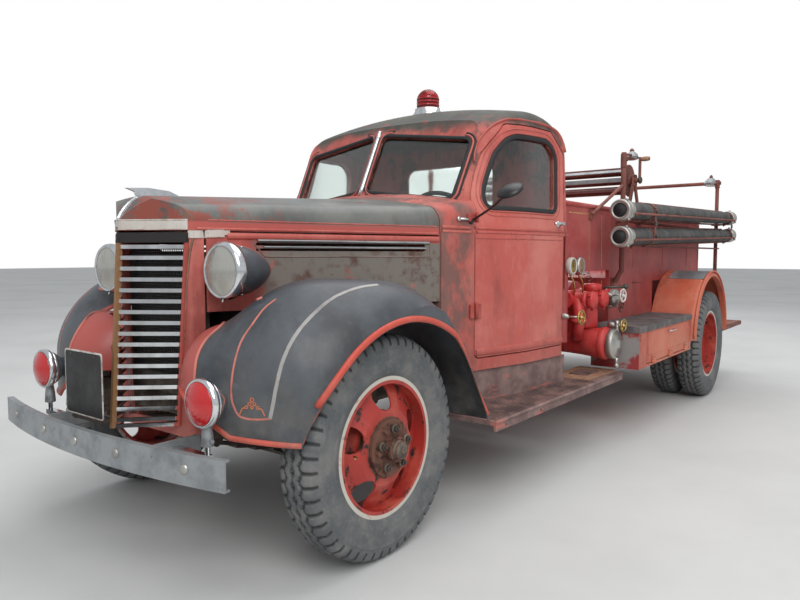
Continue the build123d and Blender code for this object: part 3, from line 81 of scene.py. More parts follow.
# The sky lights the object, and the camera sees plain white behind it, also through glass
scene.world = bpy.data.worlds.new("world")
scene.world.use_nodes = True
tree = scene.world.node_tree
tree.nodes.clear()
path = tree.nodes.new("ShaderNodeLightPath")
seen = tree.nodes.new("ShaderNodeMath")
seen.operation = "MAXIMUM"
sky = tree.nodes.new("ShaderNodeBackground")
sky.inputs["Color"].default_value = (0.93, 0.96, 1.0, 1)
sky.inputs["Strength"].default_value = 0.62
white = tree.nodes.new("ShaderNodeBackground")
white.inputs["Color"].default_value = (1, 1, 1, 1)
pick = tree.nodes.new("ShaderNodeMixShader")
out = tree.nodes.new("ShaderNodeOutputWorld")
for source, socket in (
    (path.outputs["Is Camera Ray"], seen.inputs[0]),
    (path.outputs["Is Transmission Ray"], seen.inputs[1]),
    (seen.outputs[0], pick.inputs[0]),
    (sky.outputs[0], pick.inputs[1]),
    (white.outputs[0], pick.inputs[2]),
    (pick.outputs[0], out.inputs[0]),
):
    tree.links.new(source, socket)


def lamp(name, place, target, size, power):
    data = bpy.data.lights.new(name, "AREA")
    data.shape = "RECTANGLE"
    data.size, data.size_y = size
    data.energy = power
    obj = bpy.data.objects.new(name, data)
    scene.collection.objects.link(obj)
    obj.location = place
    obj.rotation_euler = (Vector(target) - Vector(place)).to_track_quat("-Z", "Y").to_euler()


lamp("key_lamp", (6.5, 6.0, 7.0), (0.3, 0, 0.8), (6, 6), 500)
lamp("top_lamp", (-1.0, 0.5, 8.5), (-0.5, 0, 0.6), (9, 6), 330)
lamp("rear_lamp", (-8.0, -5.5, 5.0), (0, 0, 0.9), (5, 4), 190)

FLOOR = 60
floor_mesh = bpy.data.meshes.new("floor")
floor_mesh.from_pydata([(-FLOOR, -FLOOR, 0), (FLOOR, -FLOOR, 0), (FLOOR, FLOOR, 0), (-FLOOR, FLOOR, 0)], [], [(0, 1, 2, 3)])
floor = bpy.data.objects.new("floor", floor_mesh)
scene.collection.objects.link(floor)


# ---------------------------------------------------------------- materials
def tone(red, green, blue):
    """A colour as read off a screen, in linear light."""
    return tuple(((v / 255 + 0.055) / 1.055) ** 2.4 if v > 10 else v / 255 / 12.92 for v in (red, green, blue)) + (1,)


class Finish:
    """A material built up in layers on one shader, with colours given as read off a screen."""

    def __init__(self, name, colour, rough, metal=0.0):
        self.material = bpy.data.materials.new(name)
        self.material.use_nodes = True
        self.tree = self.material.node_tree
        self.shader = self.tree.nodes["Principled BSDF"]
        self.shader.inputs["Metallic"].default_value = metal
        self.shader.inputs["Roughness"].default_value = rough
        self.colour = tone(*colour)
        self.rough = rough
        self.metal = metal
        self.height = None
        self.place = self.tree.nodes.new("ShaderNodeTexCoord").outputs["Object"]

    def add(self, kind, **settings):
        node = self.tree.nodes.new("ShaderNode" + kind)
        for key, value in settings.items():
            setattr(node, key, value)
        return node

    def put(self, socket, value):
        if isinstance(value, bpy.types.NodeSocket):
            self.tree.links.new(value, socket)
        elif value is not None:
            socket.default_value = value

    def math(self, operation, first, second=None):
        node = self.add("Math", operation=operation)
        self.put(node.inputs[0], first)
        self.put(node.inputs[1], second)
        return node.outputs[0]

    def times(self, first, second):
        return self.math("MULTIPLY", first, second)

    def rest(self, mask):
        """What a mask leaves out."""
        return self.math("SUBTRACT", 1.0, mask)

    def noise(self, scale, detail=5, rough=0.6, stretch=(1, 1, 1), shift=0.0):
        mapping = self.add("Mapping")
        self.put(mapping.inputs["Vector"], self.place)
        mapping.inputs["Scale"].default_value = stretch
        mapping.inputs["Location"].default_value = (shift, shift * 0.7, shift * 1.3)
        node = self.add("TexNoise")
        self.put(node.inputs["Vector"], mapping.outputs[0])
        node.inputs["Scale"].default_value = scale
        node.inputs["Detail"].default_value = detail
        node.inputs["Roughness"].default_value = rough
        return node.outputs["Fac"]

    def step(self, value, low, high):
        """0 below low, 1 above high, smooth between them."""
        node = self.add("MapRange", interpolation_type="SMOOTHSTEP")
        self.put(node.inputs["Value"], value)
        node.inputs["From Min"].default_value = low
        node.inputs["From Max"].default_value = high
        return node.outputs["Result"]

    def blots(self, scale, low, high, share=None, **noise):
        """Soft-edged blots cut from noise between two levels, and how strongly they cover."""
        mask = self.step(self.noise(scale, **noise), low, high)
        return mask if share is None else self.times(mask, share)

    def split(self, source, name):
        node = self.add("SeparateXYZ")
        self.put(node.inputs[0], source)
        return node.outputs[name]

    def axis(self, name):
        return self.split(self.place, name)

    def above(self, name, low, high):
        return self.step(self.axis(name), low, high)

    def below(self, name, low, high):
        return self.rest(self.above(name, low, high))

    def edge(self, radius):
        """Bright along sharp edges."""
        bevel = self.add("Bevel", samples=4)
        bevel.inputs["Radius"].default_value = radius
        true = self.add("NewGeometry")
        dot = self.add("VectorMath", operation="DOT_PRODUCT")
        self.put(dot.inputs[0], bevel.outputs[0])
        self.put(dot.inputs[1], true.outputs["Normal"])
        return self.step(self.math("SUBTRACT", 1.0, dot.outputs["Value"]), 0.02, 0.25)

    def mix(self, kind, first, second, mask, sockets):
        node = self.add("Mix", data_type=kind)
        for socket, value in zip(("Factor", *sockets), (mask, first, second)):
            self.put(node.inputs[socket], value)
        return node

    def blended(self, first, second, mask):
        return self.mix("FLOAT", first, second, mask, (2, 3)).outputs[0]

    def layer(self, colour, mask, rough=None, metal=None, lift=0.0):
        """Covers the masked area with another colour."""
        self.colour = self.mix("RGBA", self.colour, tone(*colour), mask, (6, 7)).outputs[2]
        if rough is not None:
            self.rough = self.blended(self.rough, rough, mask)
        if metal is not None and metal != self.metal:
            self.metal = self.blended(self.metal, metal, mask)
        if lift:
            self.raise_by(self.times(mask, lift))

    def raise_by(self, amount):
        self.height = amount if self.height is None else self.math("ADD", self.height, amount)

    def bumps(self, scale, height, **noise):
        self.raise_by(self.times(self.noise(scale, **noise), height))

    def done(self, coat=0.0, specular=None):
        self.put(self.shader.inputs["Base Color"], self.colour)
        self.put(self.shader.inputs["Roughness"], self.rough)
        self.put(self.shader.inputs["Metallic"], self.metal)
        if self.height is not None:
            bump = self.add("Bump")
            bump.inputs["Strength"].default_value = 1.0
            bump.inputs["Distance"].default_value = 1.0
            self.put(bump.inputs["Height"], self.height)
            self.put(self.shader.inputs["Normal"], bump.outputs[0])
        if coat:
            self.shader.inputs["Coat Weight"].default_value = coat
            self.shader.inputs["Coat Roughness"].default_value = 0.25
        if specular is not None:
            self.shader.inputs["Specular IOR Level"].default_value = specular
        return self.material


RUST = (106, 62, 44)
DARK_RUST = (66, 40, 32)
DUST = (150, 138, 122)
SOOT = (70, 62, 54)
PRIMER = (120, 112, 104)
HOOD_RED = (178, 82, 73)
PUMP_RED = (186, 36, 38)


def old_paint(name, base, faded, dark, rough=0.5, rust=0.5, chips=0.5, dust=0.35, rust_colour=RUST, shift=0.0, bleach=1.0):
    """Faded coach paint: blotches, streaks, specks, rust, chipped edges and road dust low down."""
    finish = Finish(name, base, rough)
    finish.layer(faded, finish.blots(2.2, 0.40, 0.66, 0.85 * bleach, shift=shift, rough=0.65), rough=rough + 0.12)
    finish.layer(dark, finish.blots(4.5, 0.50, 0.72, 0.75, detail=7, stretch=(1, 1, 0.35), shift=shift + 3), rough=rough)
    finish.layer(faded, finish.blots(38, 0.52, 0.70, 0.32 * bleach, stretch=(1, 1, 0.4), shift=shift + 5))
    finish.layer(dark, finish.blots(160, 0.66, 0.72, 0.6, detail=3, shift=shift + 8))
    rusty = finish.blots(7.5, 0.67 - 0.09 * rust, 0.73 - 0.06 * rust, 0.85, detail=8, rough=0.7, shift=shift + 11)
    finish.layer(rust_colour, rusty, rough=0.85, lift=-0.0002)
    edge = finish.edge(0.007)
    chipped = finish.times(edge, finish.blots(26, 0.58 - 0.16 * chips, 0.66 - 0.1 * chips, detail=6, shift=shift + 13))
    finish.layer(rust_colour, chipped, rough=0.8, lift=-0.0002)
    dusty = finish.times(finish.below("Z", 0.35, 1.0), finish.blots(9, 0.35, 0.75, shift=shift + 17))
    finish.layer(DUST, finish.times(dusty, dust), rough=0.9)
    finish.bumps(3.5, 0.004, detail=2, shift=shift + 21)
    finish.bumps(240, 0.00012, detail=2)
    return finish


def metal(name, colour, worn, rough, rust=0.4, grime=0.4, shine=1.0):
    """Bare or plated metal with grime and rust spots."""
    finish = Finish(name, colour, rough, shine)
    finish.layer(worn, finish.blots(12, 0.4, 0.7, 0.6, detail=6), rough=rough + 0.18)
    spots = finish.blots(30, 0.66 - 0.1 * rust, 0.74 - 0.08 * rust, 0.8, detail=8, rough=0.7, shift=2)
    finish.layer(DARK_RUST, spots, rough=0.85, metal=0.1)
    finish.layer(SOOT, finish.blots(6, 0.5, 0.8, grime * 0.6, shift=5), rough=0.8, metal=0.3)
    finish.bumps(80, 0.0002, detail=3)
    return finish


def rubber(name, colour, dusty, rough=0.75):
    """Rubber, leather or enamel with dust in patches."""
    finish = Finish(name, colour, rough)
    finish.layer(dusty, finish.blots(10, 0.35, 0.7, 0.6, detail=6), rough=0.9)
    finish.bumps(150, 0.0003, detail=3)
    return finish


def glass(name, colour, rough=0.05):
    material = bpy.data.materials.new(name)
    material.use_nodes = True
    shader = material.node_tree.nodes["Principled BSDF"]
    shader.inputs["Base Color"].default_value = colour
    shader.inputs["Roughness"].default_value = rough
    shader.inputs["Transmission Weight"].default_value = 1.0
    shader.inputs["IOR"].default_value = 1.45
    return material


def wheel_finish(name, axle_x):
    """Red wheel enamel with black patches, a pale rim flange and a rusty hub."""
    finish = Finish(name, (168, 52, 44), 0.45)
    across = finish.math("SUBTRACT", finish.axis("X"), axle_x)
    above = finish.math("SUBTRACT", finish.axis("Z"), WHEEL_Z)
    radius = finish.math("SQRT", finish.math("ADD", finish.times(across, across), finish.times(above, above)))
    finish.layer((196, 98, 80), finish.blots(9, 0.45, 0.7, 0.6, detail=6), rough=0.6)
    finish.layer((50, 38, 36), finish.blots(13, 0.55, 0.63, detail=8, rough=0.7, shift=4), rough=0.7)
    flange = finish.times(finish.step(radius, 0.258, 0.262), finish.blots(24, 0.3, 0.42, detail=6))
    finish.layer((196, 190, 178), flange, rough=0.6)
    finish.layer((112, 76, 62), finish.rest(finish.step(radius, HUB, HUB + 0.006)), rough=0.85)
    rusty = finish.times(finish.rest(finish.step(radius, HUB, HUB + 0.01)), finish.blots(30, 0.45, 0.65, detail=6))
    finish.layer(DARK_RUST, rusty, rough=0.9)
    finish.bumps(60, 0.0006, detail=4)
    return finish


# Each row: name, colour, faded colour, dark colour, and what differs from old_paint's own settings
PAINTS = {
    "red": ("red_paint", HOOD_RED, (198, 116, 104), (126, 56, 50), dict(rust=0.3, chips=0.6, dust=0.3)),
    "door_red": ("door_paint", (188, 88, 78), (204, 122, 110), (140, 62, 56), dict(rust=0.2, chips=0.6, shift=4)),
    "body_red": ("hose_body_paint", (158, 58, 56), (182, 96, 90), (110, 40, 40), dict(rust=0.2, chips=0.4, dust=0.3, shift=9)),
    "pump_red": ("pump_paint", PUMP_RED, (200, 70, 66), (120, 26, 28), dict(rough=0.38, rust=0.2, chips=0.6, dust=0.2, shift=2)),
    "box_red": ("box_paint", (198, 92, 66), (208, 126, 98), (150, 62, 46),
                dict(rust=0.45, chips=0.8, dust=0.3, rust_colour=(128, 78, 58), shift=6)),
    "brown": ("rack_paint", (116, 62, 54), (146, 92, 80), (80, 42, 36),
              dict(rough=0.7, rust=0.9, chips=0.9, dust=0.2, rust_colour=DARK_RUST, shift=12)),
    "chassis": ("chassis_paint", (50, 44, 42), (84, 74, 66), (34, 30, 28), dict(rough=0.75, rust=0.8, chips=0.6, dust=0.8, shift=14)),
    "cast": ("cast_iron", (52, 48, 46), (84, 74, 66), (30, 28, 26), dict(rough=0.7, rust=0.8, chips=0.4, dust=0.7, shift=15)),
    "white": ("white_enamel", (214, 211, 204), (188, 183, 172), (150, 140, 126), dict(rough=0.45, rust=0.4, shift=20)),
    "strip_white": ("strip_enamel", (204, 198, 190), (176, 166, 156), (128, 106, 92), dict(rust=1.0, chips=1.0, shift=21)),
    "rust": ("rusty_iron", (116, 72, 54), (142, 98, 76), (72, 44, 34),
             dict(rough=0.85, rust=0.8, chips=0.4, rust_colour=DARK_RUST, shift=22)),
    "primer": ("primer_grey", (126, 106, 100), (152, 132, 124), (94, 74, 68), dict(rough=0.7, rust=0.4, shift=23)),
    "hinge_red": ("hinge_paint", (166, 58, 50), (188, 96, 84), (112, 44, 38), dict(rust=0.6, chips=1.0, shift=24)),
    "bead_red": ("bead_paint", (192, 70, 54), (206, 106, 90), (120, 46, 38), dict(rust=0.3, chips=0.9, shift=25)),
    "pink": ("pink_line_paint", (204, 116, 102), (190, 130, 118), (120, 66, 58), dict(rough=0.55, rust=0.1, shift=26)),
    "pale_line": ("pale_line_paint", (152, 150, 148), (176, 172, 166), (98, 96, 94), dict(rough=0.55, rust=0.1, shift=27)),
    "gold": ("gold_line_paint", (198, 160, 100), (176, 146, 104), (120, 88, 58), dict(rust=0.1, shift=28)),
    "scroll": ("scroll_paint", (204, 118, 84), (184, 112, 88), (110, 66, 52), dict(rough=0.55, rust=0.1, shift=31)),
    "wood": ("worn_planks", (150, 108, 82), (182, 144, 116), (86, 64, 50),
             dict(rough=0.85, rust=0.3, chips=0.3, rust_colour=(60, 50, 42), shift=29)),
    "wood_red": ("painted_planks", (128, 66, 54), (150, 108, 92), (82, 50, 42),
                 dict(rough=0.8, rust=0.6, chips=0.8, rust_colour=(96, 78, 64), shift=30)),
}
# Each row: name, colour, worn colour, roughness, and what differs from metal's own settings
METALS = {
    "steel": ("spring_steel", (96, 88, 82), (70, 62, 56), 0.5, dict(rust=0.9, grime=0.8, shine=0.7)),
    "chrome": ("chrome", (226, 228, 230), (170, 168, 164), 0.14, dict(rust=0.25, grime=0.3)),
    "alloy": ("dull_alloy", (190, 188, 182), (140, 138, 134), 0.42, dict(rust=0.1, grime=0.5)),
    "brass": ("brass", (190, 160, 96), (130, 104, 60), 0.35, dict(rust=0.1, grime=0.6)),
    "galvanised": ("galvanised", (166, 170, 172), (128, 132, 134), 0.5, dict(rust=0.35, grime=0.35, shine=0.75)),
    "rust_trim": ("rusty_plating", (158, 128, 108), (108, 74, 56), 0.45, dict(rust=1.0, grime=0.5, shine=0.7)),
    "louvre": ("worn_plating", (186, 186, 186), (126, 124, 124), 0.3, dict(rust=0.5)),
}
# Each row: name, colour, dusty colour, roughness, specular level
RUBBERS = {
    "tyre": ("tyre_rubber", (78, 80, 82), (128, 126, 122), 0.75, 0.3),
    "hose": ("hose_rubber", (72, 72, 73), (116, 112, 107), 0.75, 0.3),
    "mat": ("mat_rubber", (84, 68, 66), (158, 122, 112), 0.75, 0.3),
    "seal": ("seal_rubber", (28, 28, 30), (52, 50, 50), 0.6, None),
    "leather": ("seat_leather", (72, 48, 38), (104, 80, 66), 0.55, None),
    "black": ("black_enamel", (26, 26, 28), (48, 46, 44), 0.35, None),
    "top_rubber": ("box_top_rubber", (78, 74, 74), (138, 129, 125), 0.6, None),
    "dial": ("dial_face", (150, 112, 82), (186, 170, 148), 0.5, None),
}
M = {key: old_paint(*row, **options).done() for key, (*row, options) in PAINTS.items()}
M |= {key: metal(*row, **options).done() for key, (*row, options) in METALS.items()}
M |= {key: rubber(*row).done(specular=specular) for key, (*row, specular) in RUBBERS.items()}
M["glass"] = glass("pane_glass", (0.86, 0.92, 0.9, 1))
M["red_glass"] = glass("lamp_red_glass", (0.7, 0.02, 0.02, 1), 0.08)
M["front_wheel"] = wheel_finish("front_wheel_enamel", AXLE).done()
M["rear_wheel"] = wheel_finish("rear_wheel_enamel", REAR).done()

# The pump's two front caps are red, and the rear one is bare
fittings = metal("cap_alloy", (190, 188, 182), (140, 138, 134), 0.42, rust=0.1, grime=0.5)
front_caps = fittings.above("X", ahead(-2.290), ahead(-2.286))
fittings.layer(PUMP_RED, fittings.times(front_caps, fittings.above("Z", 0.800, 0.804)), rough=0.4, metal=0.0)
M["fittings"] = fittings.done()

# Grille: bright bars, red side posts, a rusty prow strip and a black header
bars = metal("grille_chrome", (228, 230, 232), (176, 174, 170), 0.12, rust=0.2, grime=0.25)
sideways = bars.math("ABSOLUTE", bars.axis("Y"))
taper = bars.math("SUBTRACT", sideways, bars.times(bars.axis("Z"), 0.0992))
bars.layer((172, 76, 66), bars.step(taper, 0.1120, 0.1140), rough=0.5, metal=0.0)
bars.layer((150, 112, 76), bars.rest(bars.step(sideways, 0.011, 0.013)), rough=0.6, metal=0.3)
bars.layer((34, 30, 29), bars.above("Z", 1.224, 1.226), rough=0.7, metal=0.0)
M["grille"] = bars.done()

lens = Finish("fluted_lens", (186, 184, 176), 0.12, 0.6)
lens.layer((150, 140, 124), lens.blots(9, 0.42, 0.7, 0.45), rough=0.35)
M["lens"] = lens.done(coat=0.7)
red_lens = Finish("red_lens", (188, 14, 20), 0.12)
red_lens.layer((216, 42, 40), red_lens.blots(26, 0.45, 0.75, 0.4))
red_lens.layer((110, 12, 12), red_lens.blots(8, 0.5, 0.8, 0.6, shift=3))
M["red_lens"] = red_lens.done(coat=0.8)

# The cab's roof is the dark green of the hood's top, worn down to the red
cab = old_paint("cab_paint", (180, 82, 73), (198, 114, 102), (126, 56, 50), rust=0.3, chips=0.6, dust=0.3)
height = cab.math("ADD", cab.axis("Z"), cab.times(cab.noise(5, detail=6), 0.14))
roof = cab.step(height, 1.90, 1.96)
cab.layer((66, 68, 62), roof, rough=0.6)
cab.layer((96, 92, 82), cab.times(roof, cab.blots(6, 0.45, 0.65, 0.7, detail=8, rough=0.7, shift=31)), rough=0.75)
cab.layer((140, 62, 52), cab.times(roof, cab.blots(8, 0.56, 0.62, detail=8, rough=0.7, shift=33)), rough=0.6)
stain = cab.times(cab.above("Z", 1.28, 1.50), cab.blots(4.2, 0.50, 0.60, detail=9, rough=0.72, stretch=(1, 1, 0.6), shift=34))
cab.layer((72, 66, 62), cab.times(stain, 0.8), rough=0.7)
cheek = cab.above("X", ahead(-0.90), ahead(-0.80))
cheek = cab.times(cheek, cab.blots(5.2, 0.44, 0.58, detail=9, rough=0.7, stretch=(1, 1, 0.5), shift=36))
cab.layer((96, 84, 78), cab.times(cheek, 0.75), rough=0.7)
M["cab"] = cab.done()

# The hood's green is worn to red-brown towards the nose
hood = old_paint("hood_paint", (84, 88, 85), (124, 122, 116), (52, 52, 50),
                 rust=0.7, chips=1.0, dust=0.2, rust_colour=(134, 62, 48), shift=3, bleach=0.8)
fore = hood.above("X", ahead(-0.1), ahead(0.5))
hood.layer((138, 64, 50), hood.times(fore, hood.blots(9, 0.47, 0.56, detail=9, rough=0.75, shift=35)), rough=0.65)
hood.layer((120, 88, 72), hood.times(fore, hood.blots(17, 0.58, 0.64, detail=8, rough=0.7, shift=37)), rough=0.8)
hood.layer((178, 80, 71), hood.below("Z", 1.300, 1.312), rough=0.5)
M["hood"] = hood.done(coat=0.35)

# Bare primer where the hood's sides were rubbed down
flank = old_paint("hood_side_paint", HOOD_RED, (198, 114, 102), (126, 56, 50), rust=0.3, dust=0.3, shift=7)
bare = flank.times(flank.below("Z", 1.228, 1.236), flank.below("X", ahead(0.16), ahead(0.26)))
bare = flank.times(bare, flank.blots(7, 0.30, 0.42, detail=8, rough=0.65, shift=39))
flank.layer(PRIMER, bare, rough=0.75)
flank.layer((92, 66, 58), flank.times(bare, flank.blots(12, 0.5, 0.68, detail=8, shift=41)), rough=0.8)
M["hood_sides"] = flank.done()

# The fenders are dark, and their inner parts near the nose are red
fender = old_paint("fender_paint", (54, 58, 63), (88, 92, 97), (34, 35, 38),
                   rust=0.1, chips=0.7, rust_colour=(150, 66, 52), shift=1, bleach=0.7)
inner = fender.rest(fender.step(fender.math("ABSOLUTE", fender.axis("Y")), 0.434, 0.446))
fender.layer(HOOD_RED, inner, rough=0.5)
scratches = fender.blots(11, 0.62, 0.68, detail=9, rough=0.75, stretch=(1, 1, 2.5), shift=43)
fender.layer((170, 78, 62), fender.times(scratches, fender.blots(2.4, 0.5, 0.62, shift=45)), rough=0.6)
M["fender"] = fender.done(coat=0.3)

# The side boxes' front faces are a darker red, which is painted shade, and worn to grey in patches
box = old_paint("side_box_paint", (196, 90, 68), (208, 124, 100), (150, 56, 44),
                rust=0.45, chips=0.8, dust=0.3, rust_colour=(120, 70, 52), shift=6)
front_face = box.step(box.split(box.add("TexCoord").outputs["Normal"], "X"), 0.80, 0.95)
worn = box.blots(5, 0.47, 0.55, detail=8, rough=0.65, shift=47)
# Painted shade: the faces turned forward, picked by their normal, are darker red
box.layer((150, 52, 52), front_face)
box.layer((142, 136, 134), box.times(front_face, worn), rough=0.75)
M["side_box"] = box.done()

board = rubber("running_board_paint", (108, 86, 83), (166, 138, 130))
scuffs = board.blots(9, 0.56, 0.62, 0.8, detail=8, rough=0.7, stretch=(0.4, 1, 1.6), shift=49)
board.layer((186, 106, 94), scuffs, rough=0.7)
M["board"] = board.done()

# The tread's grooves are marked on its mesh, and the tread is painted dark in them as painted shade
tread = rubber("tread_rubber", (92, 95, 97), (132, 130, 126), 0.8)
grooves = tread.add("Attribute", attribute_name="groove").outputs["Fac"]
# Painted shade: the cut grooves are darkened by their depth
tread.layer((44, 45, 46), tread.times(grooves, 0.85), rough=0.9)
tread.layer((150, 146, 138), tread.blots(70, 0.55, 0.7, 0.25, detail=4, shift=3))
M["tread"] = tread.done(specular=0.25)

ground = Finish("floor_ground", (206, 206, 204), 0.85)
ground.layer((196, 196, 194), ground.blots(0.5, 0.4, 0.7))
floor_mesh.materials.append(ground.done())

LOOKS = {
    "chassis": "frame_rails rear_axle radiator",
    "cast": "front_axle engine_block left_steering_knuckle right_steering_knuckle",
    "steel": "leaf_springs tie_rod",
    "galvanised": "front_bumper",
    "alloy": "hose_couplings",
    "chrome": "warning_lamps hood_ornament",
    "glass": "cab_glass left_door_glass right_door_glass",
    "red_glass": "roof_beacon",
    "red": "grille_shell dashboard",
    "door_red": "left_door right_door",
    "body_red": "hose_body",
    "pump_red": "fire_pump",
    "box_red": "rear_fenders left_box_door right_box_door",
    "brown": "tailboard gantry_posts hose_rack reel_trestle hose_reel",
    "fender": "front_fenders headlamps",
    "grille": "grille_bars",
    "board": "running_boards",
    "side_box": "side_boxes",
    "hose": "suction_hoses",
    "leather": "bench_seat",
    "black": "steering_wheel",
    "front_wheel": "left_front_wheel right_front_wheel",
    "rear_wheel": "left_rear_wheels right_rear_wheels",
    "tyre": "left_front_tyre right_front_tyre left_rear_tyres right_rear_tyres",
    "cab": "cab_shell",
    "hood": "hood",
    "hood_sides": "hood_sides",
    "fittings": "pump_fittings",
}
for look, names in LOOKS.items():
    for name in names.split():
        nodes[name].data.materials.clear()
        nodes[name].data.materials.append(M[look])


# ---------------------------------------------------------------- shapes
def curve_through(points, steps=6):
    """A smooth line through the points."""
    points = [Vector(p) for p in points]
    ends = [points[0] * 2 - points[1]] + points + [points[-1] * 2 - points[-2]]
    line = []
    for a, b, c, d in zip(ends, ends[1:], ends[2:], ends[3:]):
        for step in range(steps):
            t = step / steps
            line.append(0.5 * (2 * b + (c - a) * t + (2 * a - 5 * b + 4 * c - d) * t * t + (3 * b - a - 3 * c + d) * t**3))
    return line + [points[-1]]


def straight(first, last, steps):
    first, last = Vector(first), Vector(last)
    return [first.lerp(last, i / steps) for i in range(steps + 1)]


def three_point_arc(first, middle, last, steps):
    """An arc in the X-Z plane through three (x, z) points."""
    (x1, z1), (x2, z2), (x3, z3) = first, middle, last
    d = 2 * (x1 * (z2 - z3) + x2 * (z3 - z1) + x3 * (z1 - z2))
    s1, s2, s3 = x1 * x1 + z1 * z1, x2 * x2 + z2 * z2, x3 * x3 + z3 * z3
    cx = (s1 * (z2 - z3) + s2 * (z3 - z1) + s3 * (z1 - z2)) / d
    cz = (s1 * (x3 - x2) + s2 * (x1 - x3) + s3 * (x2 - x1)) / d
    radius = math.hypot(x1 - cx, z1 - cz)
    a1, a2, a3 = (math.atan2(z - cz, x - cx) for x, z in (first, middle, last))
    span = (a3 - a1) % (2 * math.pi)
    if (a2 - a1) % (2 * math.pi) > span:
        span -= 2 * math.pi
    return [(cx + radius * math.cos(a), cz + radius * math.sin(a)) for a in spaced(a1, a1 + span, steps)]


def rounded(corners, radii, steps=5):
    """A closed flat outline, as (a, b) pairs, with its corners rounded by one radius or by one for each."""
    line = []
    count = len(corners)
    for i, corner in enumerate(corners):
        radius = radii[i] if isinstance(radii, (list, tuple)) else radii
        here = Vector(corner)
        before = (Vector(corners[i - 1]) - here).normalized()
        after = (Vector(corners[(i + 1) % count]) - here).normalized()
        half = before.angle(after) / 2
        centre = here + (before + after).normalized() * radius / math.sin(half)
        first = here + before * radius / math.tan(half)
        last = here + after * radius / math.tan(half)
        a0 = math.atan2(*(first - centre).yx)
        a1 = math.atan2(*(last - centre).yx)
        sweep = (a1 - a0 + math.pi) % (2 * math.pi) - math.pi
        line += [(centre.x + radius * math.cos(a), centre.y + radius * math.sin(a)) for a in spaced(a0, a0 + sweep, steps)]
    return line


def oblong(left, low, right, high, radius, steps=5):
    """The rounded outline of a rectangle between two corners."""
    return rounded([(left, low), (right, low), (right, high), (left, high)], radius, steps)


def dense(outline, longest=0.03):
    """A closed outline with points added along its long sides."""
    line = []
    for point, after in zip(outline, outline[1:] + outline[:1]):
        steps = max(1, int((Vector(after) - Vector(point)).length / longest))
        line += [tuple(Vector(point).lerp(Vector(after), s / steps)) for s in range(steps)]
    return line


def circle(radius, sides):
    turns = [2 * math.pi * i / sides for i in range(sides)]
    return [(radius * math.cos(a), radius * math.sin(a)) for a in turns]


def spoke(degrees, length=1.0):
    """A vector in the X-Z plane at this angle from +X."""
    turn = math.radians(degrees)
    return Vector((math.cos(turn), 0, math.sin(turn))) * length


def half_round(width, height, sides=6):
    """A moulding's section, with its foot just under the surface."""
    top = [(width / 2 * math.cos(math.pi * i / sides), height * math.sin(math.pi * i / sides)) for i in range(sides + 1)]
    return top + [(-width / 2, -0.002), (width / 2, -0.002)]


def flat_section(width, height):
    return [(width / 2, -0.002), (width / 2, height), (-width / 2, height), (-width / 2, -0.002)]


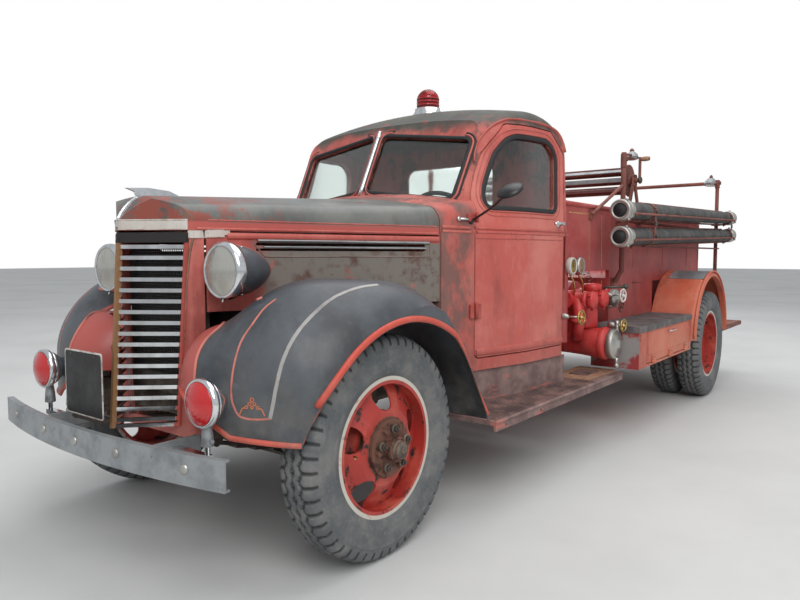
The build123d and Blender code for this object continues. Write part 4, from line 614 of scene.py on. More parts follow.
class Piece:
    """Shapes collected into one mesh that rides on one body."""

    def __init__(self, name, body, *looks):
        self.name, self.body, self.looks = name, body, looks
        self.verts, self.faces, self.kinds, self.soft = [], [], [], []
        self.flip = False

    def shape(self, verts, faces, look=0, smooth=True):
        start = len(self.verts)
        self.verts += [Vector((v[0], -v[1], v[2])) if self.flip else Vector(v) for v in verts]
        for face in faces:
            order = tuple(reversed(face)) if self.flip else face
            self.faces.append(tuple(start + i for i in order))
            self.kinds.append(look)
            self.soft.append(smooth)

    def sweep(self, section, places, look=0, closed=False, smooth=True):
        """A section, as (a, b) pairs, carried along places, each (point, a direction, b direction, scale)."""
        count, rings = len(section), len(places)
        verts = [p + a * (s[0] * k) + b * (s[1] * k) for p, a, b, k in places for s in section]
        faces = []
        for r in range(rings if closed else rings - 1):
            for i in range(count):
                j, q = (i + 1) % count, (r + 1) % rings
                faces.append((r * count + i, r * count + j, q * count + j, q * count + i))
        if not closed:
            faces += [tuple(reversed(range(count))), tuple(range((rings - 1) * count, rings * count))]
        self.shape(verts, faces, look, smooth)

    def ways(self, line, closed):
        """The direction of a line at each of its points."""
        count = len(line)
        for i in range(count):
            after = line[(i + 1) % count] if closed else line[min(i + 1, count - 1)]
            before = line[i - 1] if closed else line[max(i - 1, 0)]
            yield (after - before).normalized()

    def tube(self, line, radius, sides=12, look=0, closed=False, scales=None):
        """A round bar along a line of points."""
        line = [Vector(p) for p in line]
        places, side = [], None
        for i, (point, way) in enumerate(zip(line, self.ways(line, closed))):
            side = side or way.orthogonal().normalized()
            side = (side - way * side.dot(way)).normalized()
            places.append((point, side, way.cross(side), scales[i] if scales else 1.0))
        self.sweep(circle(radius, sides), places, look, closed)

    def strip(self, line, normals, section, look=0, closed=False, smooth=False):
        """A moulding on a surface: the section's a runs across the line and its b along the normals, or one normal."""
        line = [Vector(p) for p in line]
        if isinstance(normals, Vector):
            normals = [normals] * len(line)
        places = []
        for point, normal, way in zip(line, normals, self.ways(line, closed)):
            across = normal.normalized().cross(way).normalized()
            places.append((point, across, way.cross(across), 1.0))
        self.sweep(section, places, look, closed, smooth)

    def trim(self, hits, section, look=0, out=None, **more):
        """A moulding through the places that rays met, standing along their normals or along out."""
        hits = [hit for hit in hits if hit]
        if len(hits) > 2:
            self.strip([place for place, _ in hits], out or [normal for _, normal in hits], section, look, **more)

    def lathe(self, profile, origin, axis, turns=32, look=0, smooth=True):
        """A turned shape from (radius, along) pairs."""
        axis = Vector(axis).normalized()
        a = axis.orthogonal().normalized()
        b = axis.cross(a)
        origin = Vector(origin)
        verts = [origin + axis * along + (a * c + b * s) * radius for radius, along in profile for c, s in circle(1, turns)]
        faces = []
        for r in range(len(profile) - 1):
            for i in range(turns):
                j = (i + 1) % turns
                faces.append((r * turns + i, r * turns + j, (r + 1) * turns + j, (r + 1) * turns + i))
        if profile[0][0] > 1e-6:
            faces.append(tuple(reversed(range(turns))))
        if profile[-1][0] > 1e-6:
            faces.append(tuple(range((len(profile) - 1) * turns, len(profile) * turns)))
        self.shape(verts, faces, look, smooth)

    def block(self, centre, size, look=0, x=X, z=Z, bevel=0.0015):
        """A block with broken edges."""
        centre, x, z = Vector(centre), Vector(x).normalized(), Vector(z).normalized()
        y = z.cross(x)
        sx, sy, sz = (v / 2 for v in size)
        b = min(bevel, sx * 0.9, sy * 0.9, sz * 0.9)
        section = [(sx - b, -sy), (sx, b - sy), (sx, sy - b), (sx - b, sy), (b - sx, sy), (-sx, sy - b), (-sx, b - sy), (b - sx, -sy)]
        levels = ((-sz, b), (b - sz, 0), (sz - b, 0), (sz, b))
        self.sweep(section, [(centre + z * along, x, y, 1 - inset / max(sx, sy)) for along, inset in levels], look, smooth=False)

    def plate(self, outline, thickness, origin, x, normal, look=0, bevel=0.0008):
        """A flat plate from an outline of (a, b) pairs, lying on origin and rising along the normal."""
        y = normal.cross(x)
        span = max(max(abs(a), abs(b)) for a, b in outline)
        levels = ((0, 1.0), (thickness - bevel, 1.0), (thickness, 1 - bevel / span))
        self.sweep(outline, [(Vector(origin) + normal * rise, x, y, k) for rise, k in levels], look, smooth=False)

    def nut(self, place, axis, radius, height, look=0):
        self.lathe([(radius, 0), (radius, height * 0.85), (radius * 0.85, height)], place, axis, 6, look, smooth=False)

    def rivet(self, place, axis, radius, height, look=0):
        self.lathe([(radius, 0), (radius * 0.92, height * 0.5), (radius * 0.6, height * 0.9), (0, height)], place, axis, 12, look)

    def both(self, make):
        """Runs make once as it is and once mirrored to the other side."""
        for _ in range(2):
            make(self)
            self.flip = not self.flip
        return self

    def done(self):
        mesh = bpy.data.meshes.new(self.name)
        mesh.from_pydata([tuple(v) for v in self.verts], [], self.faces)
        for look in self.looks:
            mesh.materials.append(M[look])
        for face, kind, smooth in zip(mesh.polygons, self.kinds, self.soft):
            face.material_index = kind
            face.use_smooth = smooth
        work = bmesh.new()
        work.from_mesh(mesh)
        bmesh.ops.remove_doubles(work, verts=work.verts, dist=1e-6)
        bmesh.ops.dissolve_degenerate(work, dist=1e-7, edges=work.edges)
        bmesh.ops.recalc_face_normals(work, faces=work.faces)
        work.to_mesh(mesh)
        work.free()
        obj = bpy.data.objects.new(self.name, mesh)
        scene.collection.objects.link(obj)
        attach(obj, self.body)


# ---------------------------------------------------------------- places on the frame
surfaces = {}


def surface(*names):
    """The CAD nodes' faces, ready for rays."""
    if names not in surfaces:
        verts, faces = [], []
        for name in names:
            mesh = nodes[name].data
            start = len(verts)
            verts += [v.co.copy() for v in mesh.vertices]
            faces += [tuple(start + i for i in p.vertices) for p in mesh.polygons]
        surfaces[names] = BVHTree.FromPolygons(verts, faces)
    return surfaces[names]


def meet(origin, way, *names):
    """Where a ray first meets these nodes: (place, normal towards the ray), or None."""
    way = Vector(way)
    place, normal, _, _ = surface(*names).ray_cast(Vector(origin), way)
    if place is None:
        return None
    return place, (-normal if normal.dot(way) > 0 else normal)


def on_side(x, z, *names, side=1):
    """The outermost place of these nodes at this X and Z."""
    return meet((x, side * 3, z), (0, -side, 0), *names)


def side_row(first, last, steps, z, *names, side=1):
    """Places along a side at one height, between two distances ahead of the axle."""
    return [on_side(ahead(distance), z, *names, side=side) for distance in spaced(first, last, steps)]


def on_front(y, z, *names):
    """The foremost place of these nodes at this Y and Z."""
    return meet((5, y, z), (-1, 0, 0), *names)


def on_top(x, y, *names):
    """The highest place of these nodes at this X and Y."""
    return meet((x, y, 4), (0, 0, -1), *names)


def way_through(pixel):
    """The direction of the camera's ray through a pixel."""
    u, v = pixel
    return VIEW_WAY + VIEW_RIGHT * ((u - WIDTH / 2) / FOCAL) - VIEW_UP * ((v - HEIGHT / 2) / FOCAL)


def seen_at(pixel, *names):
    """Where the camera's ray through a pixel meets these nodes."""
    return meet(EYE, way_through(pixel).normalized(), *names)


def seen_line(pixels, *names):
    return [seen_at((p.x, p.y), *names) for p in curve_through([(u, v, 0) for u, v in pixels])]


def at_x(pixel, x):
    """Where the camera's ray through a pixel crosses the upright plane at this X."""
    way = way_through(pixel)
    return EYE + way * ((x - EYE.x) / way.x)


def at_y(pixel, y):
    """Where the camera's ray through a pixel crosses the upright plane at this Y."""
    way = way_through(pixel)
    return EYE + way * ((y - EYE.y) / way.y)


def extents(name, side=0):
    """Lowest and highest corner of a node, or of its half on one side."""
    spots = [v.co for v in nodes[name].data.vertices if v.co.y * side > 0 or not side]
    return (Vector([pick_end(p[i] for p in spots) for i in range(3)]) for pick_end in (min, max))


# ---------------------------------------------------------------- tyres and wheels
LUGS, PER_LUG = 52, 8
TYRE_WALL = [
    (0.283, 0.0725), (0.288, 0.0765), (0.296, 0.0800), (0.304, 0.0815), (0.309, 0.0845), (0.313, 0.0845), (0.317, 0.0838), (0.330, 0.0862),
    (0.345, 0.0868), (0.360, 0.0866), (0.373, 0.0858), (0.377, 0.0872), (0.381, 0.0872), (0.385, 0.0850), (0.392, 0.0842),
]
SHOULDER = [(0.396, 0.0838), (0.405, 0.0822), (0.414, 0.0795), (0.421, 0.0765), (0.4255, 0.0715), (0.4295, 0.0640)]
CROWN_HALF, CROWN_STEPS, CROWN_EDGE = 0.0600, 18, 0.4325
BEAD = [(0.262, -0.060), (0.256, -0.058), (0.256, 0.058), (0.262, 0.060)]


def groove_depth(kind, radius, across, column):
    """How deep the tread is cut here: lugs on the shoulders, zigzag grooves on the crown."""
    between_lugs = column % PER_LUG in (0, 1)
    cut = 0.0
    if kind == "shoulder" and between_lugs:
        cut = 0.0075 * (0.35 if radius < 0.401 else 1)
    if kind == "crown":
        shift = 0.5 if across < 0 else 0.0
        wave = abs(((column / PER_LUG + shift) % 1.0) - 0.5) * 2
        if any(abs(across - groove - 0.012 * (wave - 0.5)) < 0.0042 for groove in (0.036, 0.0, -0.036)):
            cut = 0.008
        if abs(across) > 0.045 and between_lugs:
            cut = 0.0075
    return cut


def tyre_rows():
    """The tyre's outer section from one bead to the other: (radius, across, kind)."""
    half = [(r, y, "wall") for r, y in TYRE_WALL] + [(r, y, "shoulder") for r, y in SHOULDER]
    half.append((CROWN_EDGE, CROWN_HALF, "shoulder"))
    crown = spaced(CROWN_HALF, -CROWN_HALF, CROWN_STEPS)[1:-1]
    crown = [(CROWN_EDGE + 0.002 + 0.0035 * (1 - (across / CROWN_HALF) ** 2), across, "crown") for across in crown]
    return half + crown + [(r, -y, kind) for r, y, kind in reversed(half)]


def tyre(name, body, axle_x, centres, side, node):
    """Tyres with shoulder lugs, a zigzag tread and ringed walls, in place of a CAD node."""
    columns = LUGS * PER_LUG
    verts, faces, depth = [], [], []

    def ring(centre_y, radius_at, across, offset=0.0):
        for column in range(columns):
            angle = 2 * math.pi * (column + offset) / columns
            reach = radius_at(column)
            verts.append((axle_x + reach * math.cos(angle), centre_y + side * across, WHEEL_Z + reach * math.sin(angle)))

    def join(start, end):
        for column in range(columns):
            after = (column + 1) % columns
            quad = (start + column, start + after, end + after, end + column)
            faces.append(quad if side > 0 else tuple(reversed(quad)))

    for centre_y in centres:
        first = len(verts)
        for radius, across, kind in tyre_rows():
            cuts = [groove_depth(kind, radius, across, column) for column in range(columns)]
            ring(centre_y, lambda column: radius - cuts[column], across, 0.5 if across < 0 else 0)
            # How deep each cut is, which the tread's look turns into painted shade in the grooves
            depth += [min(1.0, cut / 0.006) for cut in cuts]
        for radius, across in BEAD:
            ring(centre_y, lambda column: radius, across)
            depth += [0.0] * columns
        starts = list(range(first, len(verts), columns))
        for start, end in zip(starts, starts[1:] + starts[:1]):
            join(start, end)
    mesh = bpy.data.meshes.new(name)
    mesh.from_pydata(verts, [], faces)
    for face in mesh.polygons:
        face.use_smooth = True
    mesh.attributes.new("groove", "FLOAT", "POINT").data.foreach_set("value", depth)
    mesh.materials.append(M["tread"])
    obj = bpy.data.objects.new(name, mesh)
    scene.collection.objects.link(obj)
    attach(obj, body)
    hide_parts(node)


for side, word in SIDES.items():
    tyre(f"{word}_front_tread", f"{word}_front_wheel", AXLE, [side * 0.767], side, f"{word}_front_tyre")
    tyre(f"{word}_rear_treads", f"{word}_rear_wheels", REAR, [side * 0.775, side * 0.996], side, f"{word}_rear_tyres")


NUT_CIRCLE = 0.078


def wheel_fittings(name, body, axle_x, side):
    """Studs with nuts round the hub, a grease cap and a valve stem."""
    piece = Piece(name, body, "steel", "cast", "brass")
    piece.flip = side < 0
    face_y = abs(on_side(axle_x + NUT_CIRCLE, WHEEL_Z, body, side=side)[0].y)
    centre = Vector((axle_x, face_y, WHEEL_Z))
    for i in range(5):
        spot = centre + spoke(18 + 72 * i, NUT_CIRCLE)
        piece.lathe([(0.017, -0.004), (0.017, 0.003), (0.0125, 0.004)], spot, Y, 16, 1)
        piece.nut(spot + Y * 0.003, Y, 0.0125, 0.013)
        piece.lathe([(0.006, 0.014), (0.006, 0.022), (0.0045, 0.024)], spot, Y, 10)
    cap = [(0.040, -0.004), (0.040, 0.012), (0.036, 0.018), (0.034, 0.030), (0.030, 0.036), (0.012, 0.038), (0.0, 0.038)]
    piece.lathe(cap, centre, Y, 28, 1)
    piece.lathe([(0.014, 0.036), (0.014, 0.044), (0.012, 0.046)], centre, Y, 6, 1, smooth=False)
    stem = [centre + Vector(p) for p in ((0.222, -0.012, 0.02), (0.226, 0.004, 0.02), (0.246, 0.014, 0.021))]
    piece.tube(curve_through(stem, 4), 0.0035, 8, 2)
    piece.done()


for side, word in SIDES.items():
    wheel_fittings(f"{word}_front_nuts", f"{word}_front_wheel", AXLE, side)
    wheel_fittings(f"{word}_rear_nuts", f"{word}_rear_wheels", REAR, side)


# ---------------------------------------------------------------- lamps
LAMP = Vector((ahead(0.431), 0.400, 1.120))
LAMP_R = 0.102
LENS_R = 0.092
LENS_RINGS, LENS_COLUMNS = 14, 96
FLUTE = 0.0105


def headlamp_trim(piece):
    """Chrome rim, fluted lens, rim screws."""
    rim = [(0.1022, -0.034), (0.1070, -0.031), (0.1095, -0.014), (0.1070, 0.001), (0.1000, 0.010), (0.0930, 0.011), (0.0900, 0.000)]
    piece.lathe(rim, LAMP, X, 56)
    verts, faces = [], []
    for r in range(LENS_RINGS + 1):
        radius = LENS_R * r / LENS_RINGS
        for y, z in circle(radius, LENS_COLUMNS):
            flute = 0.0011 * math.cos(2 * math.pi * y / FLUTE) * (1 - (r / LENS_RINGS) ** 6)
            verts.append(LAMP + Vector((0.0205 - 0.014 * (radius / LENS_R) ** 2 + flute, y, z)))
    for start in range(0, LENS_RINGS * LENS_COLUMNS, LENS_COLUMNS):
        end = start + LENS_COLUMNS
        for c in range(LENS_COLUMNS):
            d = (c + 1) % LENS_COLUMNS
            faces.append((start + c, end + c, end + d, start + d))
    piece.shape(verts, faces, 1)
    piece.lathe([(0.0045, -0.010), (0.0045, 0.012), (0.0030, 0.014)], LAMP + Vector((-0.004, 0.0, -LAMP_R - 0.001)), (0.3, 0, -1), 10)
    for turn in (60, 180, 300):
        a = math.radians(turn)
        out = Vector((0, math.cos(a), math.sin(a)))
        piece.rivet(LAMP - X * 0.05 + out * 0.101, out, 0.005, 0.004)


def headlamp_foot(piece):
    """The painted foot of each headlamp on the nose's side, and the lamp's side knob."""
    start = on_side(LAMP.x - 0.12, LAMP.z - 0.04, "hood_sides", "grille_shell")[0]
    end = LAMP + Vector((-0.12, -0.02, -0.075))
    piece.tube(curve_through([start - Y * 0.004, start.lerp(end, 0.5) - Z * 0.012, end], 5), 0.016)
    piece.lathe([(0.034, -0.002), (0.034, 0.004), (0.024, 0.010), (0.018, 0.012)], start, Y, 20)
    knob = [(0.006, 0.0), (0.006, 0.030), (0.012, 0.032), (0.012, 0.044), (0.004, 0.046)]
    piece.lathe(knob, LAMP + Vector((-0.03, -0.098, 0)), -Y, 12, 1)


WARNING = Vector((ahead(0.652), 0.561, 0.685))
WARNING_R = 0.0755
WARNING_RINGS = 18


def warning_trim(piece):
    """Red lens with rings, chrome rim, cone and the post's collar."""
    rim = [(0.0800, -0.019), (0.0845, -0.018), (0.0860, -0.008), (0.0835, 0.003), (0.0770, 0.008), (0.0730, 0.002)]
    piece.lathe(rim, WARNING, X, 48)
    profile = []
    for i in range(WARNING_RINGS + 1):
        radius = WARNING_R * (1 - i / WARNING_RINGS)
        profile.append((radius, 0.006 + 0.024 * (1 - (radius / WARNING_R) ** 2) + (0.0009 if i % 3 == 1 else 0)))
    piece.lathe(profile, WARNING, X, 48, 1)
    cone = [(0.0815, -0.016), (0.070, -0.040), (0.046, -0.070), (0.026, -0.098), (0.016, -0.120), (0.008, -0.127), (0.0, -0.128)]
    piece.lathe(cone, WARNING, X, 40)
    post = WARNING - X * 0.026
    piece.lathe([(0.018, -0.150), (0.022, -0.148), (0.020, -0.112), (0.016, -0.080), (0.014, -0.066)], post, Z, 20, 2)
    piece.nut(post + Vector((0, 0.020, -0.130)), Y, 0.008, 0.010, 2)


Piece("headlamp_rims", "chassis", "chrome", "lens").both(headlamp_trim).done()
Piece("headlamp_feet", "chassis", "red", "black").both(headlamp_foot).done()
Piece("warning_lamp_rims", "chassis", "chrome", "red_lens", "galvanised").both(warning_trim).done()

beacon = Piece("beacon_base", "chassis", "chrome", "red_lens")
foot = on_top(ahead(-1.440), 0, "cab_shell")[0]
foot.y = 0
beacon.lathe([(0.094, -0.012), (0.096, 0.006), (0.086, 0.016), (0.080, 0.040), (0.076, 0.042), (0.0715, 0.040)], foot, Z, 44)
for turn in (40, 160, 280):
    a = math.radians(turn)
    beacon.rivet(foot + Vector((math.cos(a) * 0.084, math.sin(a) * 0.084, 0.022)), (math.cos(a), math.sin(a), 0.3), 0.005, 0.004)
for z in (0.060, 0.080, 0.100):
    beacon.lathe([(0.0697, z - 0.003), (0.0714, z), (0.0697, z + 0.003)], foot, Z, 44, 1)
beacon.done()

# ---------------------------------------------------------------- bumper, plate and nose trim
bumper_bolts = Piece("bumper_bolts", "chassis", "alloy")
for y in (-0.605, -0.266, 0, 0.266, 0.605):
    dome = [(0.018, -0.001), (0.0175, 0.002), (0.014, 0.006), (0.008, 0.0085), (0, 0.009)]
    bumper_bolts.lathe(dome, *on_front(y, 0.497, "front_bumper"), 20)
bumper_bolts.done()

PLATE_PIXELS = ((68, 365), (97, 370), (100, 402), (73, 397))
PLATE_W, PLATE_H = 0.142, 0.128
plate = Piece("front_plate", "chassis", "white", "black", "steel")
middle = sum((at_x(pixel, ahead(0.70)) for pixel in PLATE_PIXELS), Vector()) / 4
for inset, thick, look in ((0.0, 0.0030, 0), (0.006, 0.0038, 1)):
    wide, tall = PLATE_W - inset, PLATE_H - inset
    plate.plate(oblong(-wide, -tall, wide, tall, 0.012), thick, middle, Y, X, look)
for dy in (-0.09, 0.09):
    plate.rivet(middle + Vector((0.0036, dy, PLATE_H - 0.018)), X, 0.006, 0.003, 2)
    plate.block(middle + Vector((-0.010, dy, -0.055)), (0.012, 0.024, 0.190), 2)
plate.block(middle + Vector((-0.022, 0, -0.140)), (0.040, 0.220, 0.010), 2)
plate.done()


def hood_lines(piece):
    piece.trim(side_row(-0.62, 0.44, 40, 1.279, "hood"), half_round(0.010, 0.005))
    piece.trim(side_row(-0.62, 0.40, 40, 1.312, "hood"), half_round(0.006, 0.0025))


STRIP_TAILS = (
    ([(188, 234.2), (200, 234), (212, 233.6), (224, 233.2)], 0.030),
    ([(222, 232.9), (228, 232.6), (233, 232.3), (237, 232.0)], 0.018),
)


def nose_strip(piece):
    """The blank strip over the grille and its rim."""
    piece.trim([on_front(y, 1.292, "hood") for y in spaced(0.004, 0.250, 16)], flat_section(0.036, 0.006))
    piece.trim([on_front(y, 1.311, "hood") for y in spaced(0.004, 0.250, 16)], half_round(0.007, 0.008))


def strip_tail(piece):
    """The strip's thin ends along the nose's sides."""
    for pixels, wide in STRIP_TAILS:
        piece.trim(seen_line(pixels, "hood", "hood_sides", "grille_shell"), flat_section(wide, 0.005))


def grille_edge(piece):
    hits = [on_front(0.180 + 0.073 * (z - 0.65) / 0.62 + 0.006, z, "grille_shell") for z in spaced(0.66, 1.25, 12)]
    piece.trim(hits, half_round(0.009, 0.005), 1, out=Vector((1, 0.35, 0)))


Piece("hood_lid_lines", "hood", "red").both(hood_lines).done()
Piece("nose_strip", "hood", "strip_white", "rust").both(nose_strip).both(strip_tail).done()
crest = Piece("hood_crest_strip", "hood", "chrome")
prow = [on_front(0, z, "hood") for z in (1.285, 1.30, 1.32, 1.34, 1.36, 1.378)]
crest.trim(prow + [on_top(ahead(x), 0, "hood") for x in (0.53, 0.50, 0.46, 0.42)], half_round(0.016, 0.009))
crest.done()
Piece("grille_edges", "chassis", "chrome", "rust_trim").both(grille_edge).done()

radiator = Piece("radiator_core", "chassis", "black")
core_x = on_front(0.05, 0.95, "radiator")[0].x
for i in range(46):
    radiator.block((core_x + 0.003, 0, 0.700 + 0.0112 * i), (0.006, 0.42, 0.0025), bevel=0.0004)
for i in range(28):
    radiator.block((core_x + 0.002, -0.2025 + 0.015 * i, 0.955), (0.004, 0.003, 0.51), bevel=0.0004)
radiator.done()


def hood_side_trim(piece):
    """Belt moulding, louvre bars with their panel line, and screws."""
    piece.trim(side_row(0.33, -0.63, 40, 1.252, "hood_sides"), half_round(0.026, 0.009))
    for z, front, rear, tall, out in ((1.2360, 0.215, -0.575, 0.015, 0.013), (1.2105, 0.190, -0.560, 0.013, 0.010)):
        piece.trim(side_row(front, rear, 36, z, "hood_sides"), half_round(tall, out), 1)
    panel = rounded([(ahead(-0.585), 1.172), (ahead(0.185), 1.172), (ahead(0.245), 1.246), (ahead(-0.585), 1.246)], 0.018)
    piece.trim([on_side(x, z, "hood_sides") for x, z in panel], half_round(0.006, 0.0035), 2, closed=True)
    for x in (0.30, -0.10, -0.60):
        piece.rivet(*on_side(ahead(x), 1.10, "hood_sides"), 0.006, 0.003, 2)


Piece("hood_side_trim", "chassis", "red", "louvre", "primer").both(hood_side_trim).done()

# ---------------------------------------------------------------- cab: windshield, belt, gutter, doors, mirror, dials
SHIELD_FOOT = Vector((ahead(-0.805), 0, 1.510))
SHIELD_UP = (Vector((ahead(-0.985), 0, 1.885)) - SHIELD_FOOT).normalized()
POST_OUT = Vector((1, 0, 0.48)).normalized()
BELT = ((1.312, 0.007), (1.2905, 0.010))

cab_trim = Piece("windshield_trim", "chassis", "seal", "red", "chrome")
for side in SIDES:
    out = (Vector((-0.090, side * 0.6, 0)).cross(SHIELD_UP) * side).normalized()
    across = out.cross(SHIELD_UP)
    for grow, tall, wide, look in ((0.004, 0.007, 0.022, 0), (0.021, 0.008, 0.012, 1), (0.033, 0.004, 0.012, 0)):
        gasket = grow < 0.01
        inner = 0.022 - grow if gasket else 0.022
        corners = [(0.018 - grow, inner), (0.373 + grow, inner), (0.334 + grow, 0.580 + grow), (-0.018 - grow, 0.560 + grow)]
        outline = rounded([(a, -side * b) for a, b in corners], 0.038 + grow, 7)
        line = [SHIELD_FOOT + SHIELD_UP * a + across * b for a, b in outline]
        if not gasket:
            # The outer mouldings end at the post between the panes
            line = [p for p in line if p.y * side > 0.012 + grow * 0.2]
            start = max(range(len(line)), key=lambda i: (line[i] - line[i - 1]).length)
            line = line[start:] + line[:start]
        cab_trim.strip(line, out, half_round(wide, tall), look, closed=gasket, smooth=True)
post = straight(SHIELD_FOOT - SHIELD_UP * 0.010, SHIELD_FOOT + SHIELD_UP * 0.398, 8)
cab_trim.strip(post, POST_OUT, half_round(0.026, 0.014), 2, smooth=True)
for spot in (post[0] + SHIELD_UP * 0.02, post[-1] - SHIELD_UP * 0.02):
    cab_trim.rivet(spot + POST_OUT * 0.012, POST_OUT, 0.004, 0.003, 2)
cab_trim.done()


def cab_belt(piece):
    """Belt, gutter, sill line, the hinges' feet and a plated arm on the cowl."""
    for z, tall in BELT:
        piece.trim(side_row(-0.648, -0.835, 10, z, "cab_shell"), half_round(0.016, tall), out=Y)
        piece.trim(side_row(-1.662, -1.682, 2, z, "cab_shell"), half_round(0.016, tall), out=Y)
    gutter = three_point_arc((ahead(-0.990), 1.655), (ahead(-1.070), 1.815), (ahead(-1.190), 1.888), 10)
    gutter += [(ahead(-1.25), 1.892), (ahead(-1.40), 1.893), (ahead(-1.52), 1.890)]
    gutter += three_point_arc((ahead(-1.560), 1.884), (ahead(-1.640), 1.840), (ahead(-1.672), 1.765), 8)
    piece.trim([on_side(x, z, "cab_shell") for x, z in gutter], half_round(0.012, 0.013), smooth=True)
    piece.trim(side_row(-0.66, -0.85, 6, 0.615, "cab_shell"), half_round(0.014, 0.005))
    for distance, z, shift, size in ((-0.845, 0.90, 0.004, (0.034, 0.012, 0.070)), (-0.835, 1.362, 0.0, (0.044, 0.014, 0.040))):
        piece.block(on_side(ahead(distance), z, "cab_shell")[0] + Vector((shift, 0.004, 0)), size, 1, bevel=0.003)
    base, out = on_side(ahead(-0.755), 1.352, "cab_shell")
    piece.lathe([(0.011, -0.002), (0.011, 0.010), (0.007, 0.014)], base, out, 14, 2)
    piece.tube([base + Vector(p) for p in ((-0.004, 0.013, 0), (-0.05, 0.022, 0.001), (-0.078, 0.020, 0))], 0.0055, 10, 2)


Piece("cab_belt_trim", "chassis", "red", "hinge_red", "chrome").both(cab_belt).done()

WINDOW = [(-1.000, 1.425), (-1.008, 1.500), (-1.100, 1.700), (-1.180, 1.795), (-1.500, 1.800), (-1.568, 1.735), (-1.560, 1.425)]
WINDOW_RADII = (0.035, 0.20, 0.22, 0.115, 0.11, 0.095, 0.035)
WINDOW_MIDDLE = Vector((ahead(-1.290), 1.610))


def grown(outline, amount):
    """A closed outline, given counter-clockwise, moved outwards by this much."""
    line = []
    for i, point in enumerate(outline):
        here = Vector(point)
        before = (here - Vector(outline[i - 1])).normalized()
        after = (Vector(outline[(i + 1) % len(outline)]) - here).normalized()
        out = Vector((before.y, -before.x))
        both = (out + Vector((after.y, -after.x))).normalized()
        line.append(tuple(here + both * amount / max(0.3, both.dot(out))))
    return line


def round_window(node, side, amount):
    """Places on a door this far outside its window's opening, each carried over from a place that the door has."""
    window = grown([(ahead(x), z) for x, z in WINDOW], amount)
    for x, z in dense(rounded(window, [r + amount for r in WINDOW_RADII], 6)):
        way = (Vector((x, z)) - WINDOW_MIDDLE).normalized()
        for shift in (0.020, 0.010, 0.0):
            hit = on_side(x + way.x * shift, z + way.y * shift, node, side=side)
            if hit:
                place, normal = hit
                y = place.y - (normal.x * (x - place.x) + normal.z * (z - place.z)) / normal.y
                yield Vector((x, y, z)), normal
                break


DOOR_LINES = (
    (-0.882, -1.644, 1.312, 0.016, 0.007), (-0.882, -1.644, 1.2905, 0.016, 0.010),
    (-0.874, -1.642, 1.262, 0.006, 0.003), (-0.876, -1.640, 0.690, 0.036, 0.008),
)


def door_trim(word, side):
    """Mouldings round the window and along the door, its handle, and the leaves and barrels of its hinges."""
    node, out_y = f"{word}_door", Y * side
    piece = Piece(f"{word}_door_trim", node, "red", "seal", "chrome", "hinge_red")
    for amount, wide, tall, look in ((0.006, 0.027, 0.0045, 1), (0.023, 0.010, 0.006, 0), (0.046, 0.007, 0.0025, 0)):
        piece.trim(round_window(node, side, amount), half_round(wide, tall), look, closed=True, smooth=True)
    for first, last, z, wide, tall in DOOR_LINES:
        piece.trim(side_row(first, last, 30, z, node, side=side), half_round(wide, tall), out=out_y)
    base, out = on_side(ahead(-1.590), 1.352, node, side=side)
    piece.lathe([(0.020, -0.002), (0.020, 0.003), (0.014, 0.007), (0.010, 0.020), (0.010, 0.036)], base, out, 20, 2)
    grip = base + out * 0.038
    bar = ((0, 0, 0), (0.035, 0, 0.001), (0.075, side * 0.002, 0), (0.115, -side * 0.001, -0.003))
    piece.tube(curve_through([grip + Vector(p) for p in bar], 4), 0.0085, 12, 2)
    piece.lathe([(0.0, -0.020), (0.008, -0.018), (0.0105, -0.008), (0.0095, 0.004)], grip, -X, 14, 2)
    for z, leaf in ((0.900, 0.070), (1.362, 0.040)):
        seat = on_side(ahead(-0.892), z, node, side=side)[0] + out_y * 0.004
        pin = Vector((ahead(-0.868), side * 0.705, z))
        along = (pin - seat).normalized()
        start, end = seat - along * 0.018 * along.x ** 2, pin - along * 0.006
        piece.block((start + end) / 2, ((end - start).length, 0.012, leaf), 3, x=along, bevel=0.003)
        piece.lathe([(0.0085, -leaf / 2 - 0.004), (0.0085, leaf / 2 + 0.004), (0.006, leaf / 2 + 0.008)], pin, Z, 14, 3)
    piece.done()


for side, word in SIDES.items():
    door_trim(word, side)

# The mirror's arm stands on the left hinge pillar, so that the door swings behind it
mirror = Piece("left_mirror", "chassis", "chrome", "black")
foot = on_side(ahead(-0.842), 1.345, "cab_shell")[0]
head = at_y((510, 190), 1.035)
mirror.lathe([(0.016, -0.002), (0.016, 0.005), (0.010, 0.010)], foot, Y, 18, 1)
arm = [foot + Y * 0.006, foot + Vector((0.005, 0.030, 0.012)), foot.lerp(head, 0.5) + Y * 0.02, head]
mirror.tube(curve_through(arm, 5), 0.006, 10, 1)
facing = (VIEW_WAY * 0.45 + VIEW_RIGHT * 0.38 - VIEW_UP * 0.80).normalized()
shell = [(0.0, 0.020), (0.030, 0.017), (0.052, 0.008), (0.058, 0.0), (0.060, -0.006), (0.0575, -0.010), (0.055, -0.008)]
mirror.lathe(shell, head, -facing, 40, 1)
mirror.lathe([(0.055, 0.0055), (0.030, 0.0062), (0.0, 0.0065)], head + facing * 0.002, facing, 40)
mirror.done()

